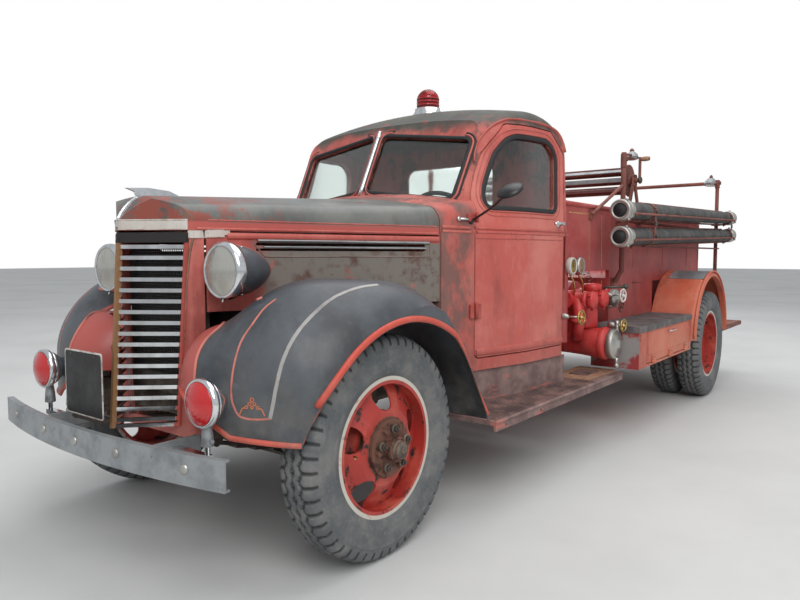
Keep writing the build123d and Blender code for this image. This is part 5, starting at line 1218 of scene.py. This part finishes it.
DASH_X = ahead(-0.955)
dials = Piece("dashboard_dials", "chassis", "chrome", "black", "white")
for y, radius in ((0.345, 0.052), (0.20, 0.036), (0.10, 0.036)):
    spot = Vector((DASH_X - 0.001, y, 1.285))
    dials.lathe([(radius + 0.005, -0.004), (radius + 0.005, 0.004), (radius, 0.007), (radius - 0.004, 0.005)], spot, -X, 30)
    dials.lathe([(radius - 0.003, 0.0), (radius - 0.003, 0.003), (0, 0.0032)], spot, -X, 30, 2)
    hand = spot + Vector((-0.0045, radius * 0.2, radius * 0.25))
    dials.block(hand, (0.001, 0.002, radius * 0.8), 1, z=(0, 0.55, 0.83), bevel=0.0002)
for y in (-0.06, -0.11, -0.16, -0.21):
    dials.lathe([(0.004, 0.0), (0.004, 0.018), (0.011, 0.020), (0.011, 0.028), (0.006, 0.031)], (DASH_X, y, 1.24), -X, 16, 1)
dials.done()

# ---------------------------------------------------------------- fenders: beads, painted lines and scroll
ARCH = [(ahead(x), z) for x, z in ((-0.590, 0.400), (-0.380, 0.792), (-0.010, 0.927), (0.303, 0.800), (0.447, 0.540))]
LIP = [(0.300, 0.690), (0.430, 0.640), (0.600, 0.545), (0.930, 0.526)]
COACH_LINES = (
    ([(236, 412), (231.5, 397), (233, 371), (240.5, 343), (253.6, 322.5), (264, 308.7), (276, 299)], 0.0075, 1),
    ([(270, 419), (273.5, 402), (276, 388), (283, 360.5), (295, 336), (312, 315.6), (333, 298), (357, 288), (378, 284.5)], 0.013, 2),
    ([(236, 412), (241, 417), (253, 419.5), (270, 419)], 0.0075, 1),
)
LEAVES = (
    (0, 0.024, 0.0065), (-0.009, 0.010, 0.0055), (0.009, 0.010, 0.0055),
    (-0.021, -0.002, 0.0050), (0.021, -0.002, 0.0050), (0, -0.002, 0.0045),
)
SEAM = [(194, 386), (197, 358), (206, 340), (221, 326), (240, 308), (262, 298)]


def leaps(hits, far):
    """Where a row of hits leaps by more than this."""
    return [i for i in range(1, len(hits)) if (hits[i][0] - hits[i - 1][0]).length > far]


def fender_beads(piece):
    """A raised bead round the wheel opening and along the front lip."""
    outline = [p for p in three_point_arc(*ARCH[:3], 26) + three_point_arc(*ARCH[2:], 24)[1:] if p[1] > 0.455]
    hits = []
    for (x0, z0), (x, z), (x1, z1) in zip(outline[:1] + outline, outline, outline[1:] + outline[-1:]):
        way = Vector((x1 - x0, z1 - z0)).normalized()
        hits.append(on_side(x - way.y * 0.013, z + way.x * 0.013, "front_fenders"))
    hits = [hit for hit in hits if hit and hit[0].y > 0.86]
    runs = [0, *leaps(hits, 0.15), len(hits)]
    first, last = max(zip(runs, runs[1:]), key=lambda run: run[1] - run[0])
    piece.trim(hits[first:last], half_round(0.024, 0.009), smooth=True)
    lip = []
    for (y1, z1), (y2, z2) in zip(LIP, LIP[1:]):
        lip += [(y1 + (y2 - y1) * i / 10, z1 + (z2 - z1) * i / 10) for i in range(10)]
    hits = [on_front(y, z + 0.011, "front_fenders") for y, z in lip if y > 0.31]
    hits = [hit for hit in hits if hit]
    stop = (leaps(hits, 0.09) + [len(hits)])[0]
    piece.trim(hits[:stop], half_round(0.020, 0.008), smooth=True)


def fender_lines(piece):
    """The two coach lines that meet at the foot, and the scroll between them."""
    for pixels, wide, look in COACH_LINES:
        piece.trim(seen_line(pixels, "front_fenders"), flat_section(wide, 0.0008), look)
    place, out = seen_at((252, 404), "front_fenders")
    across = out.cross(Z).normalized()
    up = across.cross(out)

    def curl(points, wide, closed=False):
        spots = [place + across * a + up * (c - 0.010) + out * 0.0005 for a, c in points]
        piece.strip(spots, out, flat_section(wide, 0.0008), 3, closed=closed)

    for a, c, radius in LEAVES:
        curl([(a + dx, c + dy) for dx, dy in circle(radius, 14)], 0.0034, closed=True)
    for k in (-1, 1):
        curl([(k * (0.026 + 0.020 * t), -0.006 - 0.020 * t + 0.008 * math.sin(3.4 * t)) for t in spaced(0, 1, 8)], 0.0044)


def fender_seam(piece):
    """The welt between fender and nose."""
    piece.trim(seen_line(SEAM, "front_fenders"), half_round(0.011, 0.006), smooth=True)


Piece("fender_beads", "chassis", "bead_red").both(fender_beads).done()
Piece("fender_lines", "chassis", "bead_red", "pink", "pale_line", "scroll").both(fender_lines).done()
Piece("fender_seams", "chassis", "pink").both(fender_seam).done()

# ---------------------------------------------------------------- running boards
BOARD_TOP = 0.432


def running_board(piece):
    """Ribbed rubber on the front part, worn planks behind it, a rolled edge and bolts."""
    front, join, rear = ahead(-0.640), ahead(-1.790), ahead(-2.245)
    piece.block(((front + join) / 2, 0.818, BOARD_TOP + 0.002), (front - join, 0.275, 0.004), bevel=0.001)
    for i in range(15):
        y, z = 0.692 + 0.0178 * i, BOARD_TOP + 0.003
        rib = [(0.0050, 0.0), (0.0036, 0.0062), (-0.0036, 0.0062), (-0.0050, 0.0)]
        piece.strip(straight((front - 0.004, y, z), (join + 0.004, y, z), 2), Z, rib)
    for i in range(3):
        y = 0.712 + 0.083 * i
        centre = ((join + rear) / 2 - 0.004, y + 0.0005, BOARD_TOP + 0.006)
        piece.block(centre, (join - rear - 0.014, 0.078, 0.012), 1, bevel=0.003)
        for x in (join - 0.03, rear + 0.03):
            piece.rivet((x, y, BOARD_TOP + 0.0115), Z, 0.007, 0.002, 2)
    piece.tube(straight((ahead(-0.630), 0.957, BOARD_TOP - 0.006), (rear, 0.957, BOARD_TOP - 0.006), 4), 0.0085, 12, 3)
    for i in range(5):
        piece.rivet((ahead(-0.72 - 0.36 * i), 0.9575, BOARD_TOP - 0.030), Y, 0.006, 0.004, 2)


WORN_MAT = [
    (-0.092, -0.060), (-0.030, -0.072), (0.046, -0.058), (0.100, -0.066), (0.108, 0.010),
    (0.092, 0.060), (0.020, 0.052), (-0.060, 0.068), (-0.110, 0.044), (-0.100, -0.010),
]
Piece("running_board_tread", "chassis", "mat", "wood", "steel", "board").both(running_board).done()
worn_mat = Piece("worn_mat", "chassis", "mat")
worn_mat.plate(rounded(WORN_MAT, 0.012), 0.005, (ahead(-2.015), 0.800, 0.4435), X, Z)
worn_mat.done()


# ---------------------------------------------------------------- hose body
def body_trim(piece):
    """Rolled top rail, corner battens, seams and rivets."""
    low, high = extents("hose_body", 1)
    y, top = high.y, high.z
    piece.tube(straight((high.x - 0.004, y - 0.004, top + 0.002), (low.x + 0.004, y - 0.004, top + 0.002), 6), 0.016, 14)
    for x in (high.x - 0.012, low.x + 0.012):
        piece.strip(straight((x, y, low.z + 0.33), (x, y, top - 0.02), 4), Y, flat_section(0.028, 0.003))
    for distance in (-3.05, -3.77, -4.49):
        x, seam_y, _ = on_side(ahead(distance), 1.30, "hose_body")[0]
        piece.strip(straight((x, seam_y, 1.085), (x, seam_y, top - 0.02), 3), Y, half_round(0.016, 0.004))
    for i in range(24):
        piece.rivet((high.x - 0.06 - 0.126 * i, y, top - 0.032), Y, 0.0045, 0.0028)


BODY_LINES = [[(u, v) for v in (215, 238, 262, 284)] for u in (589.0, 601.5)] + [[(569, 212), (578, 213), (589, 214)]]
Piece("hose_body_trim", "chassis", "body_red").both(body_trim).done()
lines = Piece("hose_body_lines", "chassis", "gold")
for pixels in BODY_LINES:
    lines.trim(seen_line(pixels, "hose_body"), flat_section(0.006, 0.0007))
lines.done()


# ---------------------------------------------------------------- pump fittings
def turned(u, v, degrees):
    """The direction at this angle from u towards v."""
    turn = math.radians(degrees)
    return u * math.cos(turn) + v * math.sin(turn)


def handwheel(piece, centre, radius, look, stem):
    """A cast handwheel with a wavy rim on its stem, facing left."""
    out = Vector((0.10, 1, 0)).normalized()
    u = out.orthogonal().normalized()
    v = out.cross(u)
    rim = [centre + turned(u, v, turn) * radius * (1 + 0.045 * math.cos(math.radians(6 * turn))) for turn in range(0, 360, 12)]
    piece.tube(rim, 0.0055, 8, look, closed=True)
    for turn in (22.5, 112.5, 202.5, 292.5):
        way = turned(u, v, turn)
        arm = [centre - out * 0.006 + way * 0.006, centre - out * 0.003 + way * radius * 0.55, centre + way * radius * 0.98]
        piece.tube(arm, 0.0042, 6, look)
    piece.lathe([(0.011, -0.012), (0.012, 0.004), (0.006, 0.006), (0.006, 0.012), (0.0, 0.013)], centre, out, 14, look)
    piece.lathe([(0.0055, -stem), (0.0055, -0.010)], centre, out, 10, 1)
    gland = [(0.017, -0.030), (0.019, -0.012), (0.015, 0.004), (0.010, 0.016), (0.008, 0.020)]
    piece.lathe([(r, along - stem) for r, along in gland], centre, out, 18, 1)


pump = Piece("pump_details", "chassis", "pump_red", "alloy", "brass", "white", "brown", "steel", "dial")
SUCTION = Vector((ahead(-2.155), 0, 0.620))
CAP = [
    (0.089, 0.906), (0.0955, 0.912), (0.0965, 0.940), (0.090, 0.950), (0.072, 0.953),
    (0.066, 0.958), (0.030, 0.962), (0.026, 0.972), (0.012, 0.974), (0.0, 0.974),
]
pump.lathe([(0.078, 0.560), (0.080, 0.640), (0.086, 0.740), (0.095, 0.820), (0.098, 0.868), (0.090, 0.900)], SUCTION, Y, 44)
pump.lathe([(0.100, 0.856), (0.104, 0.860), (0.104, 0.886), (0.100, 0.892)], SUCTION, Y, 44)
pump.lathe(CAP, SUCTION, Y, 48, 1)
hub = SUCTION + Y * 0.952
for end in SIDES:
    way = Vector((0.05, 0, end)).normalized()
    pump.tube([hub + way * 0.086, hub + way * 0.108, hub + way * 0.122], 0.011, 12, 1, scales=[1.3, 0.75, 0.9])
    ball = [(0.0, -0.017), (0.010, -0.014), (0.0165, -0.005), (0.0165, 0.005), (0.010, 0.014), (0.0, 0.017)]
    pump.lathe(ball, hub + way * 0.134, way, 18, 1)

OUTLET_CAP = [(0.051, 0.832), (0.0545, 0.838), (0.0545, 0.858), (0.049, 0.868), (0.030, 0.870), (0.026, 0.876), (0.0, 0.877)]
for distance, look in ((-2.000, 0), (-2.180, 0), (-2.370, 1)):
    base = Vector((ahead(distance), 0, 0.900))
    pump.lathe([(0.044, 0.700), (0.060, 0.704), (0.060, 0.722), (0.046, 0.728)], base, Y, 32)
    pump.lathe([(0.044, 0.792), (0.056, 0.798), (0.056, 0.818), (0.046, 0.826)], base, Y, 32)
    for turn in range(0, 360, 60):
        pump.nut(base + spoke(turn, 0.052) + Y * 0.722, Y, 0.006, 0.006, 5)
    pump.lathe(OUTLET_CAP, base, Y, 36, look)
    for turn in (30, 150, 270):
        lug = base + spoke(turn, 0.058) + Y * 0.848
        pump.block(lug, (0.012, 0.020, 0.014), look, x=spoke(turn + 90), z=spoke(turn), bevel=0.003)

DRAIN = [
    (0.048, 0.78), (0.062, 0.785), (0.062, 0.81), (0.050, 0.815), (0.050, 0.86),
    (0.058, 0.865), (0.058, 0.90), (0.05, 0.905), (0.0, 0.91),
]
pump.lathe(DRAIN, (ahead(-2.180), 0.775, 0.090), Z, 30)
pump.lathe([(0.070, 0.640), (0.074, 0.660), (0.074, 0.800), (0.060, 0.830)], (ahead(-2.180), 0.735, 0.070), Z, 30)


def pipe(points, steps, radius, sides, look):
    """A bent pipe through points, each (distance ahead of the axle, y, z)."""
    pump.tube(curve_through([(ahead(distance), y, z) for distance, y, z in points], steps), radius, sides, look)


def rod(start, shifts, radius, sides, look):
    """A thin bar from a place to others given by their distance from it."""
    pump.tube([start + Vector(shift) for shift in shifts], radius, sides, look)


pipe(((-2.00, 0.740, 0.905), (-1.96, 0.775, 0.86), (-1.95, 0.785, 0.78), (-1.98, 0.765, 0.70), (-2.05, 0.73, 0.66)), 6, 0.036, 20, 0)
pump.lathe([(0.030, 0.0), (0.050, 0.004), (0.050, 0.022), (0.030, 0.030)], (ahead(-1.952), 0.784, 0.76), Z, 24)
for pixel, y, radius, look, stem in (
    ((581.5, 317.5), 0.935, 0.038, 2, 0.100),
    ((623.5, 325.5), 0.985, 0.036, 2, 0.070),
    ((623.0, 295.5), 0.935, 0.040, 3, 0.090),
    ((621.5, 306.5), 0.900, 0.034, 4, 0.080),
):
    handwheel(pump, at_y(pixel, y), radius, look, stem)
knob = at_y((625.5, 286.5), 0.930)
pump.lathe([(0.0, -0.020), (0.012, -0.016), (0.019, -0.005), (0.019, 0.005), (0.012, 0.016), (0.0, 0.020)], knob, (0.2, 1, 0), 20, 5)
rod(knob, ((0, 0, 0), (0.05, -0.012, 0.0), (0.115, -0.10, -0.004)), 0.0085, 10, 5)
rod_end = at_y((641, 282.5), 0.800)
rod(rod_end, ((0, 0, 0), (0.16, -0.01, 0.004)), 0.0045, 8, 4)
rod(rod_end, ((0, 0, 0), (-0.01, -0.06, 0)), 0.0045, 8, 4)
tap = at_y((585, 274), 0.790)
rod(tap, ((0.02, -0.055, 0), (0, 0, 0)), 0.007, 10, 1)
rod(tap, ((0.018, 0.004, 0), (-0.022, 0.010, 0.006)), 0.005, 8, 1)
hook = (((583, 279), 0.77), ((589, 276), 0.80), ((592, 279), 0.80), ((588, 281), 0.78))
pump.tube(curve_through([at_y(*place) for place in hook], 4), 0.004, 8, 4)
pipe(((-1.885, 0.748, 1.06), (-1.90, 0.765, 1.02), (-1.93, 0.76, 0.97), (-1.97, 0.74, 0.935)), 5, 0.006, 8, 2)
pipe(((-2.010, 0.748, 1.06), (-2.03, 0.765, 1.02), (-2.06, 0.76, 0.97), (-2.09, 0.745, 0.93)), 5, 0.006, 8, 2)
GAUGE_RIM = [(0.0465, -0.028), (0.0520, -0.024), (0.0530, -0.002), (0.0500, 0.006), (0.0450, 0.008), (0.0410, 0.003)]
for distance, rim, face in ((-1.880, 3, 2), (-2.005, 1, 6)):
    spot = Vector((ahead(distance), 0.770, 1.112))
    pump.lathe(GAUGE_RIM, spot, Y, 40, rim)
    pump.lathe([(0.0430, 0.000), (0.0430, 0.003), (0.0, 0.0035)], spot, Y, 40, face)
    hand = spot + Vector((0.006, 0.0050, 0.008))
    pump.block(hand, (0.0022, 0.001, 0.034), 5, x=(0.8, 0, -0.6), z=(0.6, 0, 0.8), bevel=0.0002)
    pump.lathe([(0.004, 0.003), (0.004, 0.006), (0.0, 0.0065)], spot, Y, 12, 5)
pump.done()


# ---------------------------------------------------------------- side boxes and rear fenders
def box_top(piece):
    """Black rubber on the box lid with a folded edge and tacks."""
    low, high = extents("side_boxes", 1)
    length, depth, _ = high - low
    x, y = (low.x + high.x) / 2, (low.y + high.y) / 2 + 0.003
    piece.block((x, y, high.z + 0.004), (length + 0.006, depth + 0.006, 0.010), bevel=0.003)
    piece.block((x, high.y + 0.0035, high.z - 0.014), (length + 0.006, 0.005, 0.034))
    piece.block((high.x + 0.0030, y, high.z - 0.014), (0.006, depth + 0.006, 0.034))
    for x in spaced(high.x - 0.05, low.x + 0.05, 11):
        piece.rivet((x, high.y + 0.006, high.z - 0.012), Y, 0.004, 0.0022, 1)
    for y in spaced(low.y + 0.05, high.y - 0.04, 3):
        piece.rivet((high.x + 0.006, y, high.z - 0.012), X, 0.004, 0.0022, 1)


Piece("side_box_rubber", "chassis", "top_rubber", "steel").both(box_top).done()
BOX_GRIP = ((0.062, 0), (0.060, 0.020), (0.050, 0.024), (-0.050, 0.024), (-0.060, 0.020), (-0.062, 0))
for side, word in SIDES.items():
    node = f"{word}_box_door"
    low, high = extents(node, side)
    face = max(abs(low.y), abs(high.y))
    fit = Piece(f"{node}_fittings", node, "box_red", "chrome", "rust")
    fit.flip = side < 0
    for x in spaced(high.x - 0.12, low.x + 0.12, 2):
        fit.block((x, face + 0.004, low.z + 0.022), (0.050, 0.008, 0.040), bevel=0.002)
        fit.lathe([(0.008, -0.034), (0.009, -0.030), (0.009, 0.030), (0.008, 0.034)], (x, face + 0.008, low.z + 0.002), X, 14)
        for k in SIDES:
            fit.rivet((x + k * 0.015, face + 0.008, low.z + 0.030), Y, 0.0045, 0.003, 2)
    middle = Vector(((low.x + high.x) / 2, face, high.z - 0.040))
    fit.tube(curve_through([middle + Vector((dx, dy, 0)) for dx, dy in BOX_GRIP], 4), 0.0048, 10, 1)
    panel = oblong(low.x + 0.016, low.z + 0.050, high.x - 0.016, high.z - 0.014, 0.02)
    fit.strip([(x, face, z) for x, z in panel], Y, half_round(0.005, 0.0022), closed=True)
    fit.done()


def rear_fender_trim(piece):
    """Rolled outer edge, a pale tread patch on top and foot bolts."""
    low, high = extents("rear_fenders", 1)
    centre = Vector((ahead(-4.000), 0, 0.516))
    radius = high.z - centre.z
    edge = [(centre + Y * (high.y - 0.008) + spoke(turn, radius - 0.002), spoke(turn)) for turn in spaced(2, 178, 44)]
    piece.trim(edge, half_round(0.018, 0.008), smooth=True)
    middle = centre + Y * ((low.y + high.y) / 2 + 0.02)
    piece.trim([(middle + spoke(turn, radius + 0.0005), spoke(turn)) for turn in spaced(62, 84, 6)], flat_section(0.270, 0.004), 1)
    for turn in spaced(12, 168, 8):
        piece.rivet(centre + Y * (low.y + 0.024) + spoke(turn, radius), spoke(turn), 0.006, 0.003)


Piece("rear_fender_trim", "chassis", "box_red", "galvanised").both(rear_fender_trim).done()

# ---------------------------------------------------------------- tailboard
PLANKS = 14
low, high = extents("tailboard")
planks = Piece("tailboard_planks", "chassis", "brown", "wood_red", "steel")
wide = (high.y - low.y) / PLANKS
for i in range(PLANKS):
    y = low.y + wide * (i + 0.5)
    front = ahead(-4.565 if abs(y) > 0.79 else -4.935)
    length = front - (low.x + 0.030)
    planks.block((front - length / 2, y, high.z + 0.003), (length, wide - 0.012, 0.010), 1, bevel=0.002)
    for x in (front - 0.03, low.x + 0.055):
        planks.rivet((x, y, high.z + 0.0075), Z, 0.0065, 0.003, 2)
planks.block((low.x + 0.008, 0, high.z - 0.014), (0.024, high.y - low.y - 0.002, 0.040), bevel=0.004)
planks.done()

# ---------------------------------------------------------------- suction hoses, rack and straps
HOSE_RUN = Vector((-2.990, 0, 0.076)).normalized()
HOSE_STARTS = [Vector((ahead(-2.180), 0.950, z)) for z in (1.459, 1.293)]
COUPLING = (
    ([(0.0455, 0.050), (0.0452, 0.002), (0.0500, -0.002), (0.0620, -0.002), (0.0665, 0.003), (0.0665, 0.018), (0.0640, 0.022)], 0),
    # A black rubber lining and a black disc across the bore: painted shade for the dark inside of the hose
    ([(0.0448, 0.004), (0.0440, 0.046), (0.0, 0.046)], 1),
    ([(0.0640, 0.050), (0.0672, 0.054), (0.0672, 0.070), (0.0640, 0.076)], 0),
    ([(0.0640, 0.084), (0.0640, 0.092), (0.0585, 0.098), (0.0545, 0.100)], 0),
)
coupling = Piece("coupling_details", "chassis", "alloy", "seal", "hose")
for start in HOSE_STARTS:
    for origin, way in ((start - HOSE_RUN * 0.018, HOSE_RUN), (start + HOSE_RUN * 3.008, -HOSE_RUN)):
        for profile, look in COUPLING:
            coupling.lathe(profile, origin, way, 44, look)
        u = way.orthogonal().normalized()
        for turn in (40, 160, 280):
            lug = turned(u, way.cross(u), turn)
            coupling.block(origin + way * 0.037 + lug * 0.070, (0.024, 0.016, 0.016), x=way, z=lug, bevel=0.004)
    for along in spaced(0.135, 2.875, 45):
        coupling.lathe([(0.0538, -0.007), (0.0556, -0.003), (0.0556, 0.003), (0.0538, 0.007)], start + HOSE_RUN * along, HOSE_RUN, 36, 2)
coupling.done()

RODS = ((0.064, -0.022, 0.10, 2.90), (-0.030, -0.062, 0.30, 2.90), (-0.040, 0.060, 0.46, 2.86))
STRAP = [(0.014, 0.0025), (-0.014, 0.0025), (-0.014, -0.0025), (0.014, -0.0025)]
POST_X, GANTRY_X = ahead(-2.620), ahead(-5.100)
GANTRY_ENDS = (
    ([(0.0185, -0.05), (0.022, -0.046), (0.022, 0.026), (0.018, 0.030)], 1.875),
    ([(0.034, 0.0), (0.034, 0.006), (0.024, 0.010), (0.019, 0.030)], 0.522),
)
rack = Piece("rack_details", "chassis", "brown", "steel")
for start in HOSE_STARTS:
    for y, drop, first, last in RODS:
        a, b = (start + HOSE_RUN * along + Vector((0, y, drop)) for along in (first, last))
        rack.tube([a + Vector((0.014, 0, -0.012)), a, a.lerp(b, 0.5), b, b + Vector((-0.014, 0, -0.012))], 0.0072, 10)
for along in (0.500, 2.800):
    for start in HOSE_STARTS:
        middle = start + HOSE_RUN * along
        for turn in (25, 155):
            out = turned(Y, Z, turn)
            rack.block(middle + out * 0.0615, (0.040, 0.014, 0.012), z=out, bevel=0.002)
        rack.nut(middle + Y * 0.064, Y, 0.010, 0.010, 1)
    top, foot = (start + Y * 0.056 + HOSE_RUN * along for start in HOSE_STARTS)
    strap = [foot + Z * 0.035, foot + Vector((0, 0.006, 0.075)), top + Vector((0, 0.006, -0.070)), top - Z * 0.030]
    rack.sweep(STRAP, [(p, X, Y, 1.0) for p in curve_through(strap, 4)], smooth=False)
    rack.block(foot.lerp(top, 0.5) + Y * 0.008, (0.040, 0.010, 0.030), 1, bevel=0.003)
for side in SIDES:
    top = Vector((POST_X, side * 0.805, 1.875))
    rack.lathe([(0.019, -0.10), (0.021, -0.095), (0.021, -0.01), (0.016, 0.004), (0.0, 0.006)], top, Z, 18)
    rack.nut(top + Vector((0, 0.02 * side, -0.05)), Y * side, 0.009, 0.008, 1)
for y in (-0.850, 0.850):
    for profile, z in GANTRY_ENDS:
        rack.lathe(profile, (GANTRY_X, y, z), Z, 18)
rack.done()


def bowl_lamp(piece, centre, radius, down):
    """A plated bowl lamp with its lens on a short stalk."""
    bowl = [(0.10, -1.05), (0.45, -0.95), (0.85, -0.50), (1, 0.0), (1.05, 0.03), (0.98, 0.08)]
    for profile, look in ((bowl, 0), ([(0.96, 0.05), (0.5, 0.22), (0.0, 0.28)], 1)):
        piece.lathe([(r * radius, along * radius) for r, along in profile], centre, down, 32, look)
    for thick, low, high in ((0.010, 1.5, 0.95), (0.016, 1.30, 1.15)):
        piece.lathe([(thick, -radius * low), (thick, -radius * high)], centre, down, 12, 2)


lamps = Piece("rack_lamps", "chassis", "galvanised", "lens", "brown")
rear_bowl, front_bowl = at_x((710.5, 184.5), GANTRY_X), at_y((632, 158), 0.760)
bowl_lamp(lamps, rear_bowl, 0.062, (0.25, 0, -1))
lamps.tube([(GANTRY_X, rear_bowl.y, 1.875), rear_bowl + Vector((-0.012, 0, 0.055))], 0.009, 10, 2)
bowl_lamp(lamps, front_bowl, 0.046, (0.2, 0.1, -1))
lamps.tube([(POST_X, 0.805, front_bowl.z - 0.01), front_bowl + Z * 0.02], 0.008, 10, 2)
lamps.done()

# ---------------------------------------------------------------- hose reel
REEL = Vector((ahead(-2.970), 0, 1.722))
reel = Piece("reel_details", "hose_reel", "brown", "steel", "wood", "galvanised")
for side in SIDES:
    out = Y * side
    spot = REEL + out * 0.724
    reel.lathe([(0.108, -0.002), (0.116, -0.006), (0.118, 0.0), (0.116, 0.004), (0.110, 0.003)], spot, out, 48)
    reel.lathe([(0.046, -0.002), (0.046, 0.006), (0.030, 0.012), (0.026, 0.024), (0.019, 0.026)], spot, out, 28)
    for step, radius, rise in ((60, 0.037, 0.005), (45, 0.092, 0.001)):
        for turn in range(0, 360, step):
            reel.nut(spot + spoke(turn, radius) + out * rise, out, 0.0055, 0.005, 1)
for turn in range(0, 360, 45):
    way = spoke(turn)
    slat = REEL + way * 0.0958
    reel.strip(straight(slat - Y * 0.700, slat + Y * 0.700, 6), way, [(0.015, 0.0), (0.013, 0.003), (-0.013, 0.003), (-0.015, 0.0)], 3)
grip = [(0.013, 0.0), (0.0165, 0.006), (0.0175, 0.024), (0.0165, 0.040), (0.0145, 0.052), (0.0, 0.056)]
reel.lathe(grip, REEL + Vector((0, 0.812, 0.150)), Y, 22, 2)
reel.lathe([(0.024, 0.796), (0.026, 0.800), (0.026, 0.808), (0.020, 0.814), (0.0, 0.815)], REEL, Y, 22, 1)
reel.done()


def bearing(piece):
    """A cast bearing cap with two bolts, and the trestle's foot bolts."""
    spot = REEL + Y * 0.7605
    ring = [spot + Vector((a, 0, b)) for a, b in oblong(-0.040, -0.040, 0.040, 0.040, 0.010)]
    piece.strip(ring, Y, half_round(0.010, 0.009), closed=True)
    for k in SIDES:
        piece.nut(spot + Vector((k * 0.027, 0.004, 0.027)), Y, 0.007, 0.007, 1)
        piece.nut(REEL + Vector((k * 0.148, 0.768, -0.290)), Y, 0.009, 0.006, 1)


Piece("reel_bearings", "chassis", "brown", "steel").both(bearing).done()

# ---------------------------------------------------------------- the bench seat, stuffed and blown up as cloth
# Each cushion: centre, size, furthest that the cloth may move, axis it faces along, crown, depth of its pleats
CUSHIONS = {
    "seat_cushion": (Vector((ahead(-1.345), 0, 1.080)), Vector((0.424, 1.214, 0.124)), 0.022, 2, 0.006, 0.010),
    "seat_back": (Vector((ahead(-1.606), 0, 1.270)), Vector((0.062, 1.214, 0.412)), 0.014, 0, 0.0, 0.008),
}
PLEAT = 1.214 / 11
CLOTH_FRAMES = 20


def cushion_form(name, centre, size):
    """A closed rounded block with even faces, a little smaller than the cushion."""
    work = bmesh.new()
    bmesh.ops.create_cube(work, size=1.0)
    for vert in work.verts:
        vert.co = Vector((vert.co[i] * size[i] for i in range(3)))
    bmesh.ops.bevel(work, geom=list(work.edges), offset=0.024, segments=4, profile=0.5, affect="EDGES")
    bmesh.ops.translate(work, verts=work.verts, vec=centre)
    mesh = bpy.data.meshes.new(name)
    work.to_mesh(mesh)
    work.free()
    obj = bpy.data.objects.new(name, mesh)
    scene.collection.objects.link(obj)
    even = obj.modifiers.new("even", "REMESH")
    even.mode = "VOXEL"
    even.voxel_size = 0.011
    bpy.context.view_layer.update()
    obj.data = bpy.data.meshes.new_from_object(obj.evaluated_get(bpy.context.evaluated_depsgraph_get()))
    obj.modifiers.clear()
    bpy.data.meshes.remove(mesh)
    return obj


def cushion_place(spot, normal, centre, full, facing, crown, pleat):
    """A cloth point held to the cushion's box: flat where it rests, crowned and pleated where it faces."""
    low, high = centre - full / 2, centre + full / 2
    length = 2 - facing
    reach = spot[length] - centre[length]
    place = spot.copy()
    place[facing] = max(place[facing], low[facing])
    if normal[facing] > 0.3:
        near = min(abs(place.y - centre.y - PLEAT * (k + 0.5)) for k in range(-5, 5))
        edge = max(0.0, 1 - (abs(reach) / (full[length] / 2)) ** 6)
        place[facing] += crown * (1 - (reach / 0.23) ** 2) - pleat * math.exp(-((near / 0.008) ** 2)) * edge
    return Vector([min(max(place[i], low[i] - 0.006), high[i] + 0.008) for i in range(3)])


slack = Vector((0.010, 0.010, 0.012))
pads = {name: cushion_form(name, centre, full - slack) for name, (centre, full, *_) in CUSHIONS.items()}
for pad in pads.values():
    cloth = pad.modifiers.new("cloth", "CLOTH")
    cloth.settings.use_pressure = True
    cloth.settings.uniform_pressure_force = 4
    cloth.settings.effector_weights.gravity = 0
    cloth.settings.quality = 5
for step in range(CLOTH_FRAMES):
    scene.frame_set(step + 1)
view = bpy.context.evaluated_depsgraph_get()
blown = {name: [v.co.copy() for v in pad.evaluated_get(view).data.vertices] for name, pad in pads.items()}
for pad in pads.values():
    pad.modifiers.clear()
scene.frame_set(1)

for name, pad in pads.items():
    centre, full, cap, *shape = CUSHIONS[name]
    normals = [v.normal.copy() for v in pad.data.vertices]
    for vert, spot, normal in zip(pad.data.vertices, blown[name], normals):
        shift = spot - vert.co
        if shift.length > cap:
            shift *= cap / shift.length
        vert.co = cushion_place(vert.co + shift, normal, centre, full, *shape)
    for face in pad.data.polygons:
        face.use_smooth = True
    pad.data.materials.clear()
    pad.data.materials.append(M["leather"])
    smooth = pad.modifiers.new("smooth", "SUBSURF")
    smooth.levels = smooth.render_levels = 1
    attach(pad, "chassis")
    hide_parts("bench_seat")

# Piping sewn round each cushion's edge
for name, pad in pads.items():
    centre, full, _, facing, *_ = CUSHIONS[name]
    form = BVHTree.FromPolygons([v.co.copy() for v in pad.data.vertices], [tuple(p.vertices) for p in pad.data.polygons])
    u, v, level = (X, Y, Z * full.z * 0.33) if facing == 2 else (Y, Z, X * full.x * 0.20)
    wide, tall = full.dot(u) / 2, full.dot(v) / 2
    line = []
    for a, b in dense(oblong(-wide, -tall, wide, tall, 0.05, 8), 0.02):
        out = u * a + v * b
        place = form.ray_cast(centre + level + out + out.normalized() * 0.3, -out)[0]
        if place:
            line.append(place - out.normalized() * 0.001)
    piping = Piece(f"{name}_piping", "chassis", "seal")
    piping.tube(line, 0.0042, 8, closed=True)
    piping.done()
